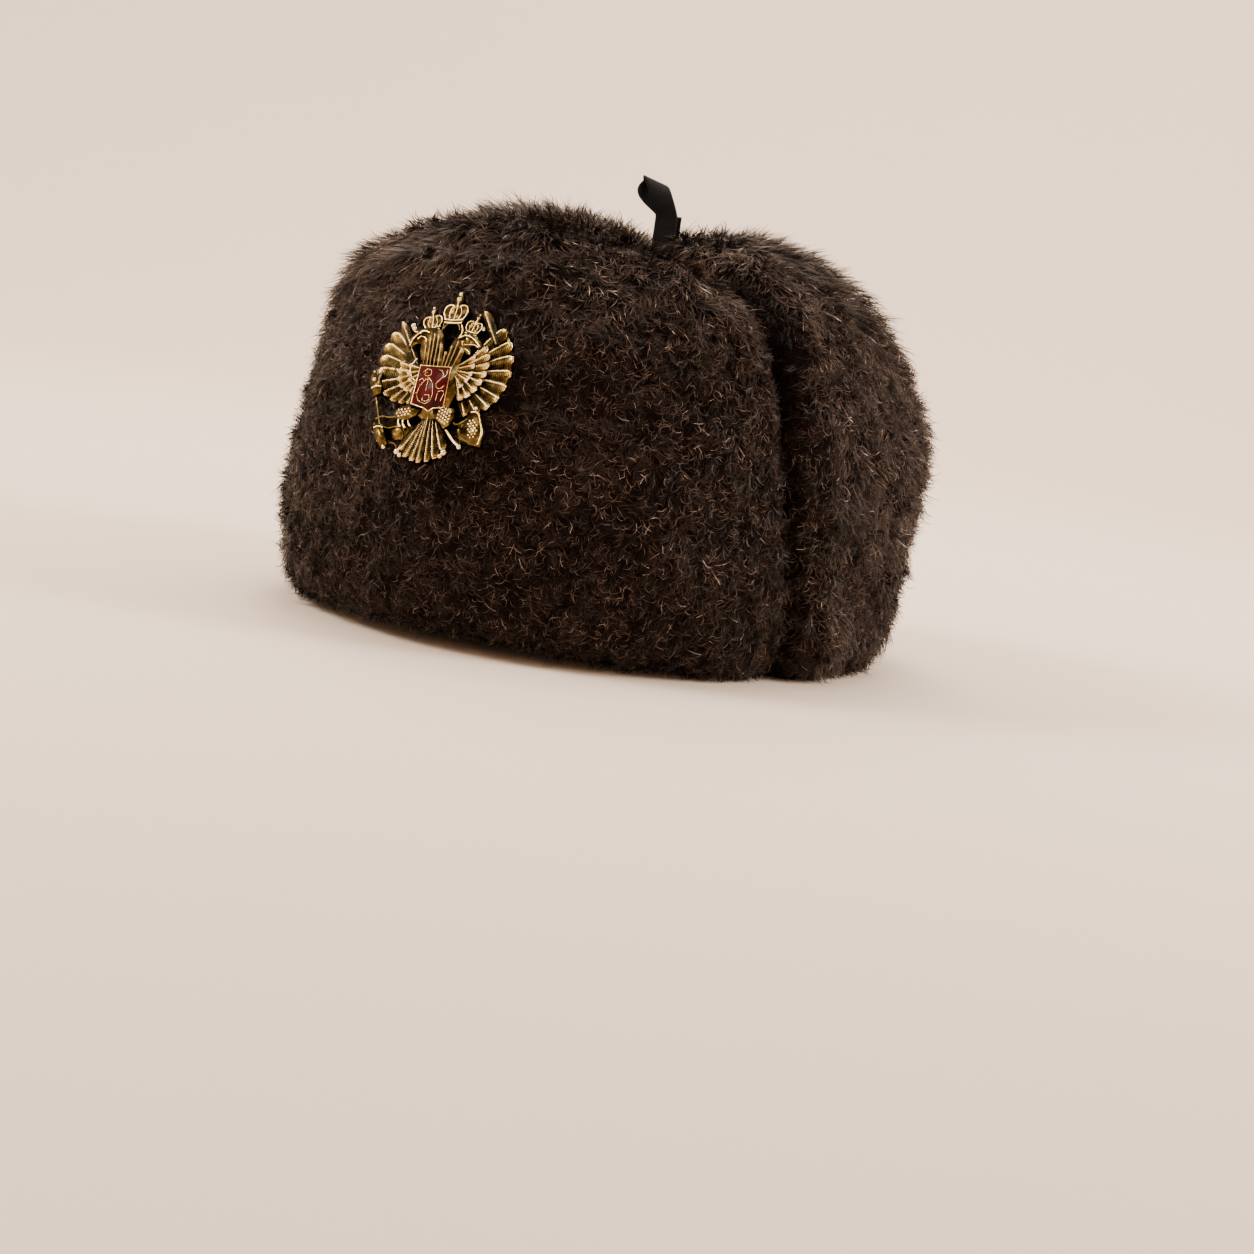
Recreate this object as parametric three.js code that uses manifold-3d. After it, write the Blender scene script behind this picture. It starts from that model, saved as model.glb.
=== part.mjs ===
// An ushanka: a padded cloth crown inside four turned-up fur flaps, a black ribbon that ties the ear flaps
// together over the crown, and a cast badge pinned to the front flap.
// Millimetres, +Z up. The front faces -Y and the wearer's left is +X. The hat stands on its flaps' folds.
import * as THREE from "three";
import { mergeVertices } from "three/addons/utils/BufferGeometryUtils.js";
import Module from "manifold-3d";

const wasm = await Module();
wasm.setup();

// Driving dimensions: the crown
const HEAD_WIDTH = 160;
const HEAD_LENGTH = 202;
const CROWN_WALL = 5;
const CROWN_HEIGHT = 114; // of its dome, above its upright lower part
const CROWN_LIFT = 15; // its dome's foot above the floor
const CROWN_SKIRT = 0.6; // the upright lower part, as a share of the way down from the dome to the floor
const CROWN_SQUARENESS = 3.2; // 2 is a plain dome, and more is boxier

// Driving dimensions: the flaps
const FLAP_PADDING = 24;
const LEAST_PADDING = 5; // at the bottom of the deepest dent
const PILE_DEPTH = 8;
const FLAP_CLEARANCE = 0.7; // between a flap and the crown that it is folded up against
const CREASE_WIDTH = 1.7; // between two neighbouring flaps, measured on the crown
const FRONT_FLAP_HALF_SPAN = 76; // degrees round the crown from the front, at its fold
const FRONT_FLAP_TAPER = 0.24; // degrees that its sides draw in for each degree that they rise
const EAR_FLAP_REAR = 125; // degrees round the crown from the front
const FRONT_ARCH = 9; // how far the front fold rises over the forehead
const BAND_FACE_ARC = 122; // up the furred face of the front and neck flaps, without fold and upper edge
const EAR_FACE_ARC = 216; // the same on an ear flap, which goes on over the crown
const FRONT_RISE = { middle: 60, end: 46 }; // degrees up the crown, at its middle and at its sides
const NECK_RISE = { middle: 50, end: 44 };
const RISE_CURVE = 2.4; // a higher power keeps a flap's upper edge level for longer towards its sides
const LOCK_WIDTH = 12.2;
const LOCK_GROWTH = { least: 0.75, spread: 0.45 }; // of the pile's depth
const LOCK_DROOP = 0.3; // how far a lock's tip hangs down, as a share of the lock's height on the flap
const LOCK_SWAY = 0.35; // how far tips lie to one side or the other, as a share of the lock's width
const EDGE_PILE = 0.45; // the pile's depth in the first locks beside a crease, as a share
const LOWEST_PILE = 0.5; // above the floor, where the hat's weight presses it flat

// Driving dimensions: the badge
const BADGE_HEIGHT = 68;
const BADGE_PLATE = 1.4;
const BADGE_RELIEF = 0.7; // each further layer of feathers stands this much higher
const BADGE_CENTRE_HEIGHT = 90; // its shield's middle above the floor
const BADGE_LEAN = 26; // degrees back from upright
const BADGE_TURN = 1; // degrees round the crown from the front
const BADGE_TILT = 11; // degrees in its own plane, anticlockwise
const BADGE_SINK = 3.5; // how far it is pressed into the pile
const BADGE_REACH = 38; // round its middle, where the pile lies flat behind it
const BADGE_EASE = 1.25; // the pile stands freely again at this many times that reach
const ENAMEL_THICKNESS = 1;
const PRONG = { width: 3, thickness: 1, length: 11, apart: 13.6, up: 2.7, rooted: 1 };
const SEAT_STEP = 0.25; // degrees up the crown, in the search for the badge's place
const FIT_CLEARANCE = 0.35;

// Driving dimensions: the ribbon
const RIBBON_WIDTH = 10;
const RIBBON_THICKNESS = 1;
const LOOP_STEM = 19; // the upright lower half of the standing loop
const LOOP_HEAD = 15; // its leaning upper half
const LOOP_OPENING = 4.5;
const LOOP_LEAN = 28; // degrees that the upper half leans to the wearer's right
const LOOP_TWIST = 30; // degrees that the upper half turns about its own length
const LOOP_TURN = 20; // degrees that loop and loose end are turned about the knot
const LOOP_SAG = 0.3; // how much lower the loop's outer corner droops, as a share of its width
const LOOSE_END = { length: 20, aside: 1.6, behind: 3.85 };
const KNOT = { width: 13, depth: 8, height: 8, rounding: 1.4 };
const STRAP_LENGTH = 14;
const STRAP_WIDTH = 8;
const TIE_BACK = 16; // the knot sits this far behind the middle of the crown
const TIE_SINK = 0.3; // how deep it lies between the flaps' tips, as a share of their padding

const CROWN_HALF_WIDTH = HEAD_WIDTH / 2 + CROWN_WALL;
const CROWN_HALF_LENGTH = HEAD_LENGTH / 2 + CROWN_WALL;
const CROWN_TOP = CROWN_LIFT + CROWN_HEIGHT;
const KNOT_BASE = CROWN_TOP + FLAP_PADDING * TIE_SINK;
const KNOT_TOP = KNOT_BASE + KNOT.height;
const MEAN_RADIUS = (CROWN_HALF_WIDTH + CROWN_HALF_LENGTH) / 2;
const CREASE_MARGIN = THREE.MathUtils.radToDeg(CREASE_WIDTH / 2 / MEAN_RADIUS);

const { degToRad, lerp, clamp, smoothstep } = THREE.MathUtils;

const FUR = new THREE.MeshStandardMaterial({ color: "#3a2b24", roughness: 0.95, metalness: 0 });
const CROWN_CLOTH = new THREE.MeshStandardMaterial({ color: "#241a16", roughness: 0.9, metalness: 0 });
const GILT = new THREE.MeshStandardMaterial({ color: "#c9a24a", roughness: 0.3, metalness: 1 });
const RED_ENAMEL = new THREE.MeshStandardMaterial({ color: "#8c1018", roughness: 0.15, metalness: 0 });
const BLACK_RIBBON = new THREE.MeshStandardMaterial({ color: "#15161a", roughness: 0.6, metalness: 0 });

// A repeatable number from 0 to 1 for a pair of counters, so that the locks aren't all alike.
function scatter(i, j) {
  const wave = Math.sin(i * 127.1 + j * 311.7) * 43758.5453;
  return wave - Math.floor(wave);
}

// Reads a table at a share from 0 to 1 of its length, on a smooth curve through each named column.
function readTable(table, share) {
  const at = clamp(share, 0, 1) * (table.length - 1);
  const low = Math.min(Math.floor(at), table.length - 2);
  const t = at - low;
  const row = (i) => table[clamp(i, 0, table.length - 1)];
  const found = {};
  for (const key of Object.keys(table[0])) {
    const [a, b, c, d] = [row(low - 1)[key], row(low)[key], row(low + 1)[key], row(low + 2)[key]];
    found[key] = b + 0.5 * t * (c - a + t * (2 * a - 5 * b + 4 * c - d + t * (3 * (b - c) + d - a)));
  }
  return found;
}

// A direction on the crown: azimuth round from the front towards the wearer's left, elevation up from
// the dome's foot.
function direction(azimuth, elevation) {
  const [a, e] = [degToRad(azimuth), degToRad(elevation)];
  return new THREE.Vector3(Math.cos(e) * Math.sin(a), -Math.cos(e) * Math.cos(a), Math.sin(e));
}

// The point of the crown's outer surface in a direction, moved out along its normal by an offset, then down.
function onCrown(dir, offset = 0, drop = 0) {
  const p = CROWN_SQUARENESS;
  const plan = Math.hypot(dir.x, dir.y);
  const reach = (plan ** p + dir.z ** p) ** (-1 / p);
  const [x, y, z] = [dir.x * reach, dir.y * reach, dir.z * reach];
  const steep = Math.hypot(x, y) ** (p - 2);
  const normal = new THREE.Vector3(
    (x * steep) / CROWN_HALF_WIDTH,
    (y * steep) / CROWN_HALF_LENGTH,
    z ** (p - 1) / CROWN_HEIGHT,
  ).normalize();
  return new THREE.Vector3(x * CROWN_HALF_WIDTH, y * CROWN_HALF_LENGTH, CROWN_LIFT + z * CROWN_HEIGHT)
    .addScaledVector(normal, offset)
    .add(new THREE.Vector3(0, 0, -drop));
}

// How far below the dome's foot a flap is folded: to the floor, and less over the forehead.
function foldDrop(azimuth) {
  return CROWN_LIFT - FRONT_ARCH * Math.max(Math.cos(degToRad(azimuth)), 0) ** 2;
}

function geometryOf(points, triangles) {
  const positions = new Float32Array(points.flatMap((p) => [p.x, p.y, p.z]));
  return new THREE.BufferGeometry()
    .setAttribute("position", new THREE.BufferAttribute(positions, 3))
    .setIndex(triangles);
}

function solidOf(geometry) {
  const bare = geometry.clone();
  bare.deleteAttribute("normal");
  bare.deleteAttribute("uv");
  const merged = mergeVertices(bare, 1e-4);
  const vertProperties = new Float32Array(merged.attributes.position.array);
  const triVerts = new Uint32Array(merged.index.array);
  return new wasm.Manifold(new wasm.Mesh({ numProp: 3, vertProperties, triVerts }));
}

function geometryFrom(solid) {
  const mesh = solid.getMesh();
  return new THREE.BufferGeometry()
    .setAttribute("position", new THREE.BufferAttribute(mesh.vertProperties, 3))
    .setIndex(new THREE.BufferAttribute(mesh.triVerts, 1));
}

function meshOf(name, geometry, material) {
  const shaped = geometry.index ? geometry.toNonIndexed() : geometry;
  shaped.computeVertexNormals();
  const mesh = new THREE.Mesh(shaped, material);
  mesh.name = name;
  return mesh;
}

// The crown: one padded wall, open below
const CROWN_COLUMNS = 24;
const CROWN_RINGS = 9;

function crown() {
  const points = [];
  const triangles = [];
  const ring = (i, offset) => {
    const elevation = (90 * Math.max(i, 0)) / CROWN_RINGS;
    const start = points.length;
    for (let c = 0; c < CROWN_COLUMNS; c++) {
      const azimuth = (360 * c) / CROWN_COLUMNS;
      const drop = i < 0 ? CROWN_SKIRT * foldDrop(azimuth) : 0;
      points.push(onCrown(direction(azimuth, elevation), offset, drop));
    }
    return start;
  };
  const join = (low, high) => {
    for (let c = 0; c < CROWN_COLUMNS; c++) {
      const next = (c + 1) % CROWN_COLUMNS;
      triangles.push(low + c, low + next, high + next, low + c, high + next, high + c);
    }
  };
  const close = (ringStart, apex, outward) => {
    for (let c = 0; c < CROWN_COLUMNS; c++) {
      const next = (c + 1) % CROWN_COLUMNS;
      const [first, second] = outward ? [c, next] : [next, c];
      triangles.push(ringStart + first, ringStart + second, apex);
    }
  };
  const outer = Array.from({ length: CROWN_RINGS + 1 }, (_, i) => ring(i - 1, 0));
  const inner = Array.from({ length: CROWN_RINGS + 1 }, (_, i) => ring(i - 1, -CROWN_WALL));
  for (let i = 0; i < CROWN_RINGS; i++) {
    join(outer[i], outer[i + 1]);
    join(inner[i + 1], inner[i]);
  }
  join(inner[0], outer[0]);
  const top = new THREE.Vector3(0, 0, CROWN_TOP);
  points.push(top, top.clone().setZ(CROWN_TOP - CROWN_WALL));
  close(outer.at(-1), points.length - 2, true);
  close(inner.at(-1), points.length - 1, false);
  return meshOf("crown", geometryOf(points, triangles), CROWN_CLOTH);
}

// A flap's section, from the inside of its fold round its face to its upper edge. climb is a share of the
// flap's rise up the crown, drop a share of the way from the dome's foot to the floor, depth of the padding.
const FOLD = [
  { climb: 0, drop: 1, depth: 0.14 },
  { climb: 0, drop: 1, depth: 0.52 },
  { climb: 0, drop: 0.55, depth: 0.8 },
];
const UPPER_EDGE = [
  { climb: 0.955, drop: 0, depth: 0.96 },
  { climb: 0.99, drop: 0, depth: 0.72 },
  { climb: 1, drop: 0, depth: 0.36 },
];
// Towards a flap's two side edges its padding thins. inset is in millimetres from the edge.
const SIDE_EDGE = [
  { inset: 0, keep: 0.66 },
  { inset: 3, keep: 0.88 },
  { inset: 8, keep: 0.98 },
];

// Dents and soft rolls of the face: where they lie, how far they spread, and how deep they are.
const DENTS = [
  { azimuth: -16, height: 52, spreadAzimuth: 7, spreadHeight: 6, depth: 4 },
  { azimuth: -3, height: 44, spreadAzimuth: 14, spreadHeight: 6, depth: -2.5 },
  { azimuth: -22, height: 33, spreadAzimuth: 12, spreadHeight: 6, depth: 4 },
  { azimuth: 22, height: 50, spreadAzimuth: 12, spreadHeight: 7, depth: 2.5 },
  { azimuth: -56, height: 124, spreadAzimuth: 18, spreadHeight: 20, depth: -5 },
  { azimuth: 87, height: 42, spreadAzimuth: 6, spreadHeight: 12, depth: 6 },
  { azimuth: 79, height: 27, spreadAzimuth: 5, spreadHeight: 12, depth: -2.5 },
  { azimuth: 112, height: 62, spreadAzimuth: 6, spreadHeight: 12, depth: 4.5 },
  { azimuth: 100, height: 84, spreadAzimuth: 10, spreadHeight: 14, depth: -2.5 },
  { azimuth: 128, height: 86, spreadAzimuth: 26, spreadHeight: 34, depth: -8 },
];

function dentAt(azimuth, height) {
  return DENTS.reduce((sum, dent) => {
    const turned = dent.azimuth > FRONT_FLAP_HALF_SPAN ? Math.abs(azimuth) : azimuth; // both sides alike
    const across = (turned - dent.azimuth) / dent.spreadAzimuth;
    const up = (height - dent.height) / dent.spreadHeight;
    return sum + dent.depth * Math.exp(-across * across - up * up);
  }, 0);
}

function azimuthOf(point) {
  return (Math.atan2(point.x / CROWN_HALF_WIDTH, -point.y / CROWN_HALF_LENGTH) * 180) / Math.PI;
}

// The columns across a flap: shares of its width, closer together at its sides, and the padding kept there.
function columnsAcross(width) {
  const edges = SIDE_EDGE.map(({ inset, keep }) => ({ share: inset / width, keep }));
  const clear = 1 - 2 * edges.at(-1).share;
  const count = Math.round((clear * width) / LOCK_WIDTH);
  const middle = [];
  for (let i = 1; i < count; i++) {
    middle.push({ share: edges.at(-1).share + (clear * i) / count, keep: 1 });
  }
  const far = edges.map(({ share, keep }) => ({ share: 1 - share, keep })).reverse();
  return [...edges, ...middle, ...far];
}

// Closes a flap's grid into one solid. Each cell of its furred face rises into one pointed lock of pile.
// place(share across, row, offset) gives a point, and faceRows come before backRows round the section.
function flapGeometry(columns, faceRows, backRows, place, shapeLock = (tip) => tip) {
  const loop = [...faceRows, ...backRows];
  const points = [];
  const triangles = [];
  for (const column of columns) {
    for (const row of loop) {
      const padding = row.back ? 0 : FLAP_PADDING * row.depth * column.keep;
      points.push(place(column.share, row, FLAP_CLEARANCE + padding));
    }
  }
  const at = (c, k) => c * loop.length + (k % loop.length);
  for (let c = 0; c < columns.length - 1; c++) {
    for (let k = 0; k < loop.length; k++) {
      const corners = [at(c, k), at(c + 1, k), at(c + 1, k + 1), at(c, k + 1)];
      const atSide = Math.min(c, columns.length - 2 - c);
      if (loop[k].furred && atSide > 0) {
        const [a, b, d, e] = corners.map((i) => points[i]);
        const middle = new THREE.Vector3().add(a).add(b).add(d).add(e).divideScalar(4);
        const out = d.clone().sub(a).cross(e.clone().sub(b)).normalize();
        const down = a.clone().add(b).sub(d).sub(e).multiplyScalar(0.5);
        const aside = b.clone().sub(a).multiplyScalar(LOCK_SWAY * (scatter(c, k) - 0.5));
        const share = LOCK_GROWTH.least + LOCK_GROWTH.spread * scatter(k, c);
        const tip = middle.addScaledVector(out, PILE_DEPTH * share * Math.min(EDGE_PILE * atSide, 1));
        if (atSide > 1) tip.addScaledVector(down, LOCK_DROOP).add(aside);
        tip.z = Math.max(tip.z, LOWEST_PILE);
        const peak = points.push(shapeLock(tip)) - 1;
        for (let i = 0; i < 4; i++) triangles.push(corners[i], corners[(i + 1) % 4], peak);
      } else {
        triangles.push(corners[0], corners[1], corners[2], corners[0], corners[2], corners[3]);
      }
    }
  }
  // The two side walls: a zigzag between face and back, always on to whichever next point lies lower.
  const last = columns.length - 1;
  const levelOf = (row) => row.climb - row.drop;
  let face = 0;
  let back = loop.length - 1;
  while (face < faceRows.length - 1 || back > faceRows.length) {
    const faceNext = face < faceRows.length - 1 ? levelOf(loop[face + 1]) : Infinity;
    const backNext = back > faceRows.length ? levelOf(loop[back - 1]) : Infinity;
    const [a, b, c] = faceNext <= backNext ? [face, face + 1, back] : [face, back - 1, back];
    triangles.push(at(0, a), at(0, b), at(0, c), at(last, a), at(last, c), at(last, b));
    if (faceNext <= backNext) face += 1;
    else back -= 1;
  }
  return geometryOf(points, triangles);
}

// The rows of a flap's section: its fold, a face in locks, its upper edge, then its back down to the fold.
function sectionRows(arc, face) {
  const count = Math.round(arc / LOCK_WIDTH);
  const backCount = count + 1;
  const faceRows = FOLD.map((row, i) => ({ ...row, furred: i > 0 }));
  for (let i = 0; i < count; i++) {
    const climb = (UPPER_EDGE[0].climb * i) / count;
    faceRows.push({ climb, drop: 0, depth: face(climb), furred: true });
  }
  faceRows.push(...UPPER_EDGE.map((row, i) => ({ ...row, depth: row.depth * face(1), furred: i < 2 })));
  const backRows = [];
  for (let i = 0; i <= backCount; i++) {
    backRows.push({ climb: 1 - i / backCount, drop: 0, depth: 0, back: true });
  }
  backRows.push({ climb: 0, drop: CROWN_SKIRT, depth: 0, back: true });
  return [faceRows, backRows];
}

// The padding of the front and neck flaps, from the fold to the upper edge
const FRONT_FACE = [0.9, 1.02, 1.02, 1.04, 1.2, 1.36].map((depth) => ({ depth }));
const NECK_FACE = [0.92, 1.04, 1.08, 1.12, 1.16, 1.12].map((depth) => ({ depth }));
const frontFace = (climb) => readTable(FRONT_FACE, climb).depth;
const neckFace = (climb) => readTable(NECK_FACE, climb).depth;

// The crease between the front flap and an ear flap, at a rise in degrees up the crown.
function frontCrease(rise) {
  return FRONT_FLAP_HALF_SPAN - FRONT_FLAP_TAPER * rise;
}

function dented(node, azimuth, row, offset) {
  if (row.back || row.drop) return node;
  const outward = new THREE.Vector3(node.x, node.y, 0).normalize();
  const deepest = Math.max(offset - LEAST_PADDING, 0);
  return node.addScaledVector(outward, -Math.min(dentAt(azimuth, node.z), deepest));
}

// The front and neck flaps stand round the crown on each side of a middle azimuth.
function bandFlap({ middle, halfSpan, rise, face, shapeNode, shapeLock }) {
  const arc = 2 * degToRad(halfSpan(0)) * (CROWN_HALF_LENGTH + FLAP_PADDING);
  const [faceRows, backRows] = sectionRows(BAND_FACE_ARC, face);
  const place = (share, row, offset) => {
    const across = lerp(-1, 1, share);
    const risen = row.climb * lerp(rise.middle, rise.end, Math.abs(across) ** RISE_CURVE);
    const azimuth = middle + across * (halfSpan(risen) - CREASE_MARGIN);
    const node = onCrown(direction(azimuth, risen), offset, row.drop * foldDrop(azimuth));
    return shapeNode(node, azimuth, row, offset);
  };
  return flapGeometry(columnsAcross(arc), faceRows, backRows, place, shapeLock);
}

// The badge's own frame: x to the right of someone who looks at it, y up it, z out of the hat.
function badgeFrame() {
  const frame = new THREE.Matrix4().makeRotationZ(degToRad(BADGE_TURN));
  frame.multiply(new THREE.Matrix4().makeRotationX(degToRad(90 - BADGE_LEAN)));
  frame.multiply(new THREE.Matrix4().makeRotationZ(degToRad(BADGE_TILT)));
  const offset = FLAP_CLEARANCE + FLAP_PADDING * frontFace(0.5) + PILE_DEPTH - BADGE_SINK;
  const at = (elevation) => onCrown(direction(BADGE_TURN, elevation), offset);
  let elevation = 0;
  while (at(elevation).z < BADGE_CENTRE_HEIGHT) elevation += SEAT_STEP;
  return frame.setPosition(at(elevation));
}

const BADGE_FRAME = badgeFrame();
const BADGE_INVERSE = BADGE_FRAME.clone().invert();

// Presses a point of the front flap back behind the badge, fully under it and less so just round it.
function pressed(point) {
  const local = point.clone().applyMatrix4(BADGE_INVERSE);
  const far = Math.hypot(local.x, local.y - EAGLE.middle * BADGE_HEIGHT);
  const under = 1 - smoothstep(far, BADGE_REACH, BADGE_REACH * BADGE_EASE);
  if (local.z > -FIT_CLEARANCE) local.z = lerp(local.z, -FIT_CLEARANCE, under);
  return local.applyMatrix4(BADGE_FRAME);
}

// The two prongs on the badge's back. grow makes the slits for them from the prongs' own form.
function prongShapes(grow) {
  const length = PRONG.length + PRONG.rooted + grow;
  return [-1, 1].map((side) =>
    new THREE.BoxGeometry(PRONG.width + 2 * grow, PRONG.thickness + 2 * grow, length)
      .translate((side * PRONG.apart) / 2, PRONG.up, PRONG.rooted - length / 2),
  );
}

function frontFlap() {
  const shapeNode = (node, azimuth, row, offset) =>
    row.back ? node : pressed(dented(node, azimuth, row, offset));
  const form = { middle: 0, halfSpan: frontCrease, rise: FRONT_RISE, face: frontFace };
  let solid = solidOf(bandFlap({ ...form, shapeNode, shapeLock: pressed }));
  for (const slit of prongShapes(FIT_CLEARANCE)) {
    solid = solid.subtract(solidOf(slit.applyMatrix4(BADGE_FRAME)));
  }
  return meshOf("front_flap", geometryFrom(solid), FUR);
}

function neckFlap() {
  const halfSpan = () => 180 - EAR_FLAP_REAR;
  const form = { middle: 180, halfSpan, rise: NECK_RISE, face: neckFace, shapeNode: dented };
  return meshOf("neck_flap", bandFlap(form), FUR);
}

// The left ear flap's two side edges on the crown, from its fold to its tip over the crown, and its padding.
// stray is how far round the crown, in degrees, a side edge leaves the crease that it starts in.
const EAR_OUTLINE = [
  { frontStray: 0, frontRise: 0, rearStray: 0, rearRise: 0, depth: 0.92 },
  { frontStray: 0, frontRise: 14, rearStray: 0, rearRise: 14, depth: 1.03 },
  { frontStray: 0, frontRise: 28, rearStray: 0, rearRise: 28, depth: 1.12 },
  { frontStray: 0, frontRise: 40, rearStray: 0, rearRise: 40, depth: 1.24 },
  { frontStray: 0, frontRise: 51, rearStray: 3, rearRise: 50, depth: 1.26 },
  { frontStray: -3, frontRise: 61, rearStray: 12, rearRise: 57, depth: 1.12 },
  { frontStray: -8, frontRise: 70, rearStray: 25, rearRise: 62, depth: 0.88 },
  { frontStray: -8, frontRise: 77, rearStray: 37, rearRise: 65, depth: 0.62 },
];

function earFlapGeometry() {
  const [faceRows, backRows] = sectionRows(EAR_FACE_ARC, (climb) => readTable(EAR_OUTLINE, climb).depth);
  const width = degToRad(EAR_FLAP_REAR - FRONT_FLAP_HALF_SPAN) * (CROWN_HALF_LENGTH + FLAP_PADDING);
  const place = (share, row, offset) => {
    const side = readTable(EAR_OUTLINE, row.climb);
    const front = direction(frontCrease(side.frontRise) + side.frontStray + CREASE_MARGIN, side.frontRise);
    const rear = direction(EAR_FLAP_REAR + side.rearStray - CREASE_MARGIN, side.rearRise);
    const turn = front.angleTo(rear);
    const dir = front
      .multiplyScalar(Math.sin((1 - share) * turn))
      .addScaledVector(rear, Math.sin(share * turn))
      .divideScalar(Math.sin(turn));
    const azimuth = azimuthOf(onCrown(dir));
    return dented(onCrown(dir, offset, row.drop * foldDrop(azimuth)), azimuth, row, offset);
  };
  return flapGeometry(columnsAcross(width), faceRows, backRows, place);
}

function earFlaps() {
  const left = solidOf(earFlapGeometry()).subtract(solidOf(strapGeometry(1, FIT_CLEARANCE)));
  const right = left.mirror([1, 0, 0]);
  return [
    meshOf("ear_flap_left", geometryFrom(left), FUR),
    meshOf("ear_flap_right", geometryFrom(right), FUR),
  ];
}

// The badge: a double-headed eagle in layers of raised shapes on one flat back. Its lengths are shares of
// its height, and layers counts the steps of relief that a shape stands above the plate.
const EAGLE = {
  middle: 0.06,
  shoulder: [0.11, 0.09],
  wing: [
    { count: 7, first: 65, last: -42, longest: 0.355, shortest: 0.27, width: 0.082, layers: 0 },
    { count: 6, first: 56, last: -32, longest: 0.235, shortest: 0.19, width: 0.062, layers: 1 },
    { count: 5, first: 50, last: -22, longest: 0.13, shortest: 0.12, width: 0.05, layers: 2 },
  ],
  tailRoot: [0, -0.17],
  tail: { count: 7, first: -62, last: -118, longest: 0.27, shortest: 0.25, width: 0.056, layers: 1 },
  lapped: 0.25, // every second feather stands this share of a layer higher
  shield: { halfWidth: 0.092, foot: 0.35, top: 0.125, bottom: -0.1, point: -0.13, frame: 0.018, layers: 3 },
};
const EAGLE_CROWNS = [
  { x: -0.125, y: 0.315, width: 0.105, layers: 1.4 },
  { x: 0.125, y: 0.315, width: 0.105, layers: 1.4 },
  { x: 0, y: 0.37, width: 0.15, layers: 1.8 },
];
const EAGLE_BARS = [
  { name: "neck to the upper crown", from: [0, 0.2], to: [0, 0.39], width: 0.05, layers: 0.8 },
  { name: "left leg", from: [-0.04, -0.1], to: [-0.15, -0.2], width: 0.06, layers: 1.6 },
  { name: "right leg", from: [0.04, -0.1], to: [0.15, -0.2], width: 0.06, layers: 1.6 },
  { name: "sceptre", from: [-0.375, 0.1], to: [-0.235, -0.3], width: 0.024, layers: 1 },
  { name: "claw to the sceptre", from: [-0.155, -0.205], to: [-0.265, -0.225], width: 0.034, layers: 0.8 },
  { name: "scroll to the tail", from: [-0.25, -0.27], to: [-0.12, -0.385], width: 0.022, layers: 0.4 },
  { name: "claw to the orb", from: [0.155, -0.205], to: [0.27, -0.24], width: 0.034, layers: 0.8 },
  { name: "orb's cross, upright", from: [0.275, -0.19], to: [0.275, -0.13], width: 0.022, layers: 1 },
  { name: "orb's cross, arms", from: [0.25, -0.155], to: [0.3, -0.155], width: 0.02, layers: 1 },
];
const EAGLE_DISCS = [
  { name: "left claw", x: -0.155, y: -0.205, radius: 0.042, layers: 2 },
  { name: "right claw", x: 0.155, y: -0.205, radius: 0.042, layers: 2 },
  { name: "left tail curl", x: -0.115, y: -0.385, radius: 0.03, layers: 1.6 },
  { name: "right tail curl", x: 0.115, y: -0.385, radius: 0.03, layers: 1.6 },
  { name: "sceptre's head", x: -0.378, y: 0.115, radius: 0.028, layers: 1.4 },
  { name: "orb", x: 0.275, y: -0.25, radius: 0.068, layers: 1.6 },
];
const EAGLE_BODY = {
  layers: 2,
  outline: [
    [-0.1, 0.14], [-0.13, 0], [-0.09, -0.14], [0, -0.2],
    [0.09, -0.14], [0.13, 0], [0.1, 0.14], [0, 0.2],
  ],
};
const EAGLE_HEAD = {
  layers: 2.2,
  outline: [
    [0.01, 0.09], [0.07, 0.1], [0.095, 0.18], [0.12, 0.215], [0.15, 0.235], [0.178, 0.225],
    [0.185, 0.255], [0.17, 0.285], [0.14, 0.315], [0.1, 0.33], [0.06, 0.31], [0.035, 0.26], [0.012, 0.18],
  ],
};
// A closed crown of width 1: a band, a flared cap with three lobes, and a ball and point on top
const CROWN_OUTLINE = [
  [-0.36, 0], [0.36, 0], [0.4, 0.14], [0.52, 0.5], [0.4, 0.76], [0.24, 0.66], [0.1, 0.92], [0.14, 1.06],
  [0, 1.4], [-0.14, 1.06], [-0.1, 0.92], [-0.24, 0.66], [-0.4, 0.76], [-0.52, 0.5], [-0.4, 0.14],
];
const BLADE = [ // half of a feather's outline, as shares of its length and width
  [0, 0.3],
  [0.6, 0.5],
  [0.9, 0.38],
  [1, 0],
];

function blade(root, angle, length, width) {
  const outline = [...BLADE, ...BLADE.slice(0, -1).reverse().map(([x, y]) => [x, -y])];
  const [c, s] = [Math.cos(degToRad(angle)), Math.sin(degToRad(angle))];
  return outline.map(([x, y]) => [
    root[0] + x * length * c - y * width * s,
    root[1] + x * length * s + y * width * c,
  ]);
}

function fan(root, { count, first, last, longest, shortest, width }) {
  return Array.from({ length: count }, (_, i) => {
    const share = i / (count - 1);
    return blade(root, lerp(first, last, share), lerp(longest, shortest, share), width);
  });
}

function disc(x, y, radius, sides = 11) {
  return Array.from({ length: sides }, (_, i) => [
    x + radius * Math.cos((2 * Math.PI * i) / sides),
    y + radius * Math.sin((2 * Math.PI * i) / sides),
  ]);
}

function bar(from, to, width) {
  const along = [to[0] - from[0], to[1] - from[1]];
  const length = Math.hypot(...along);
  const side = [(-along[1] / length) * width * 0.5, (along[0] / length) * width * 0.5];
  return [
    [from[0] - side[0], from[1] - side[1]],
    [to[0] - side[0], to[1] - side[1]],
    [to[0] + side[0], to[1] + side[1]],
    [from[0] + side[0], from[1] + side[1]],
  ];
}

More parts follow.
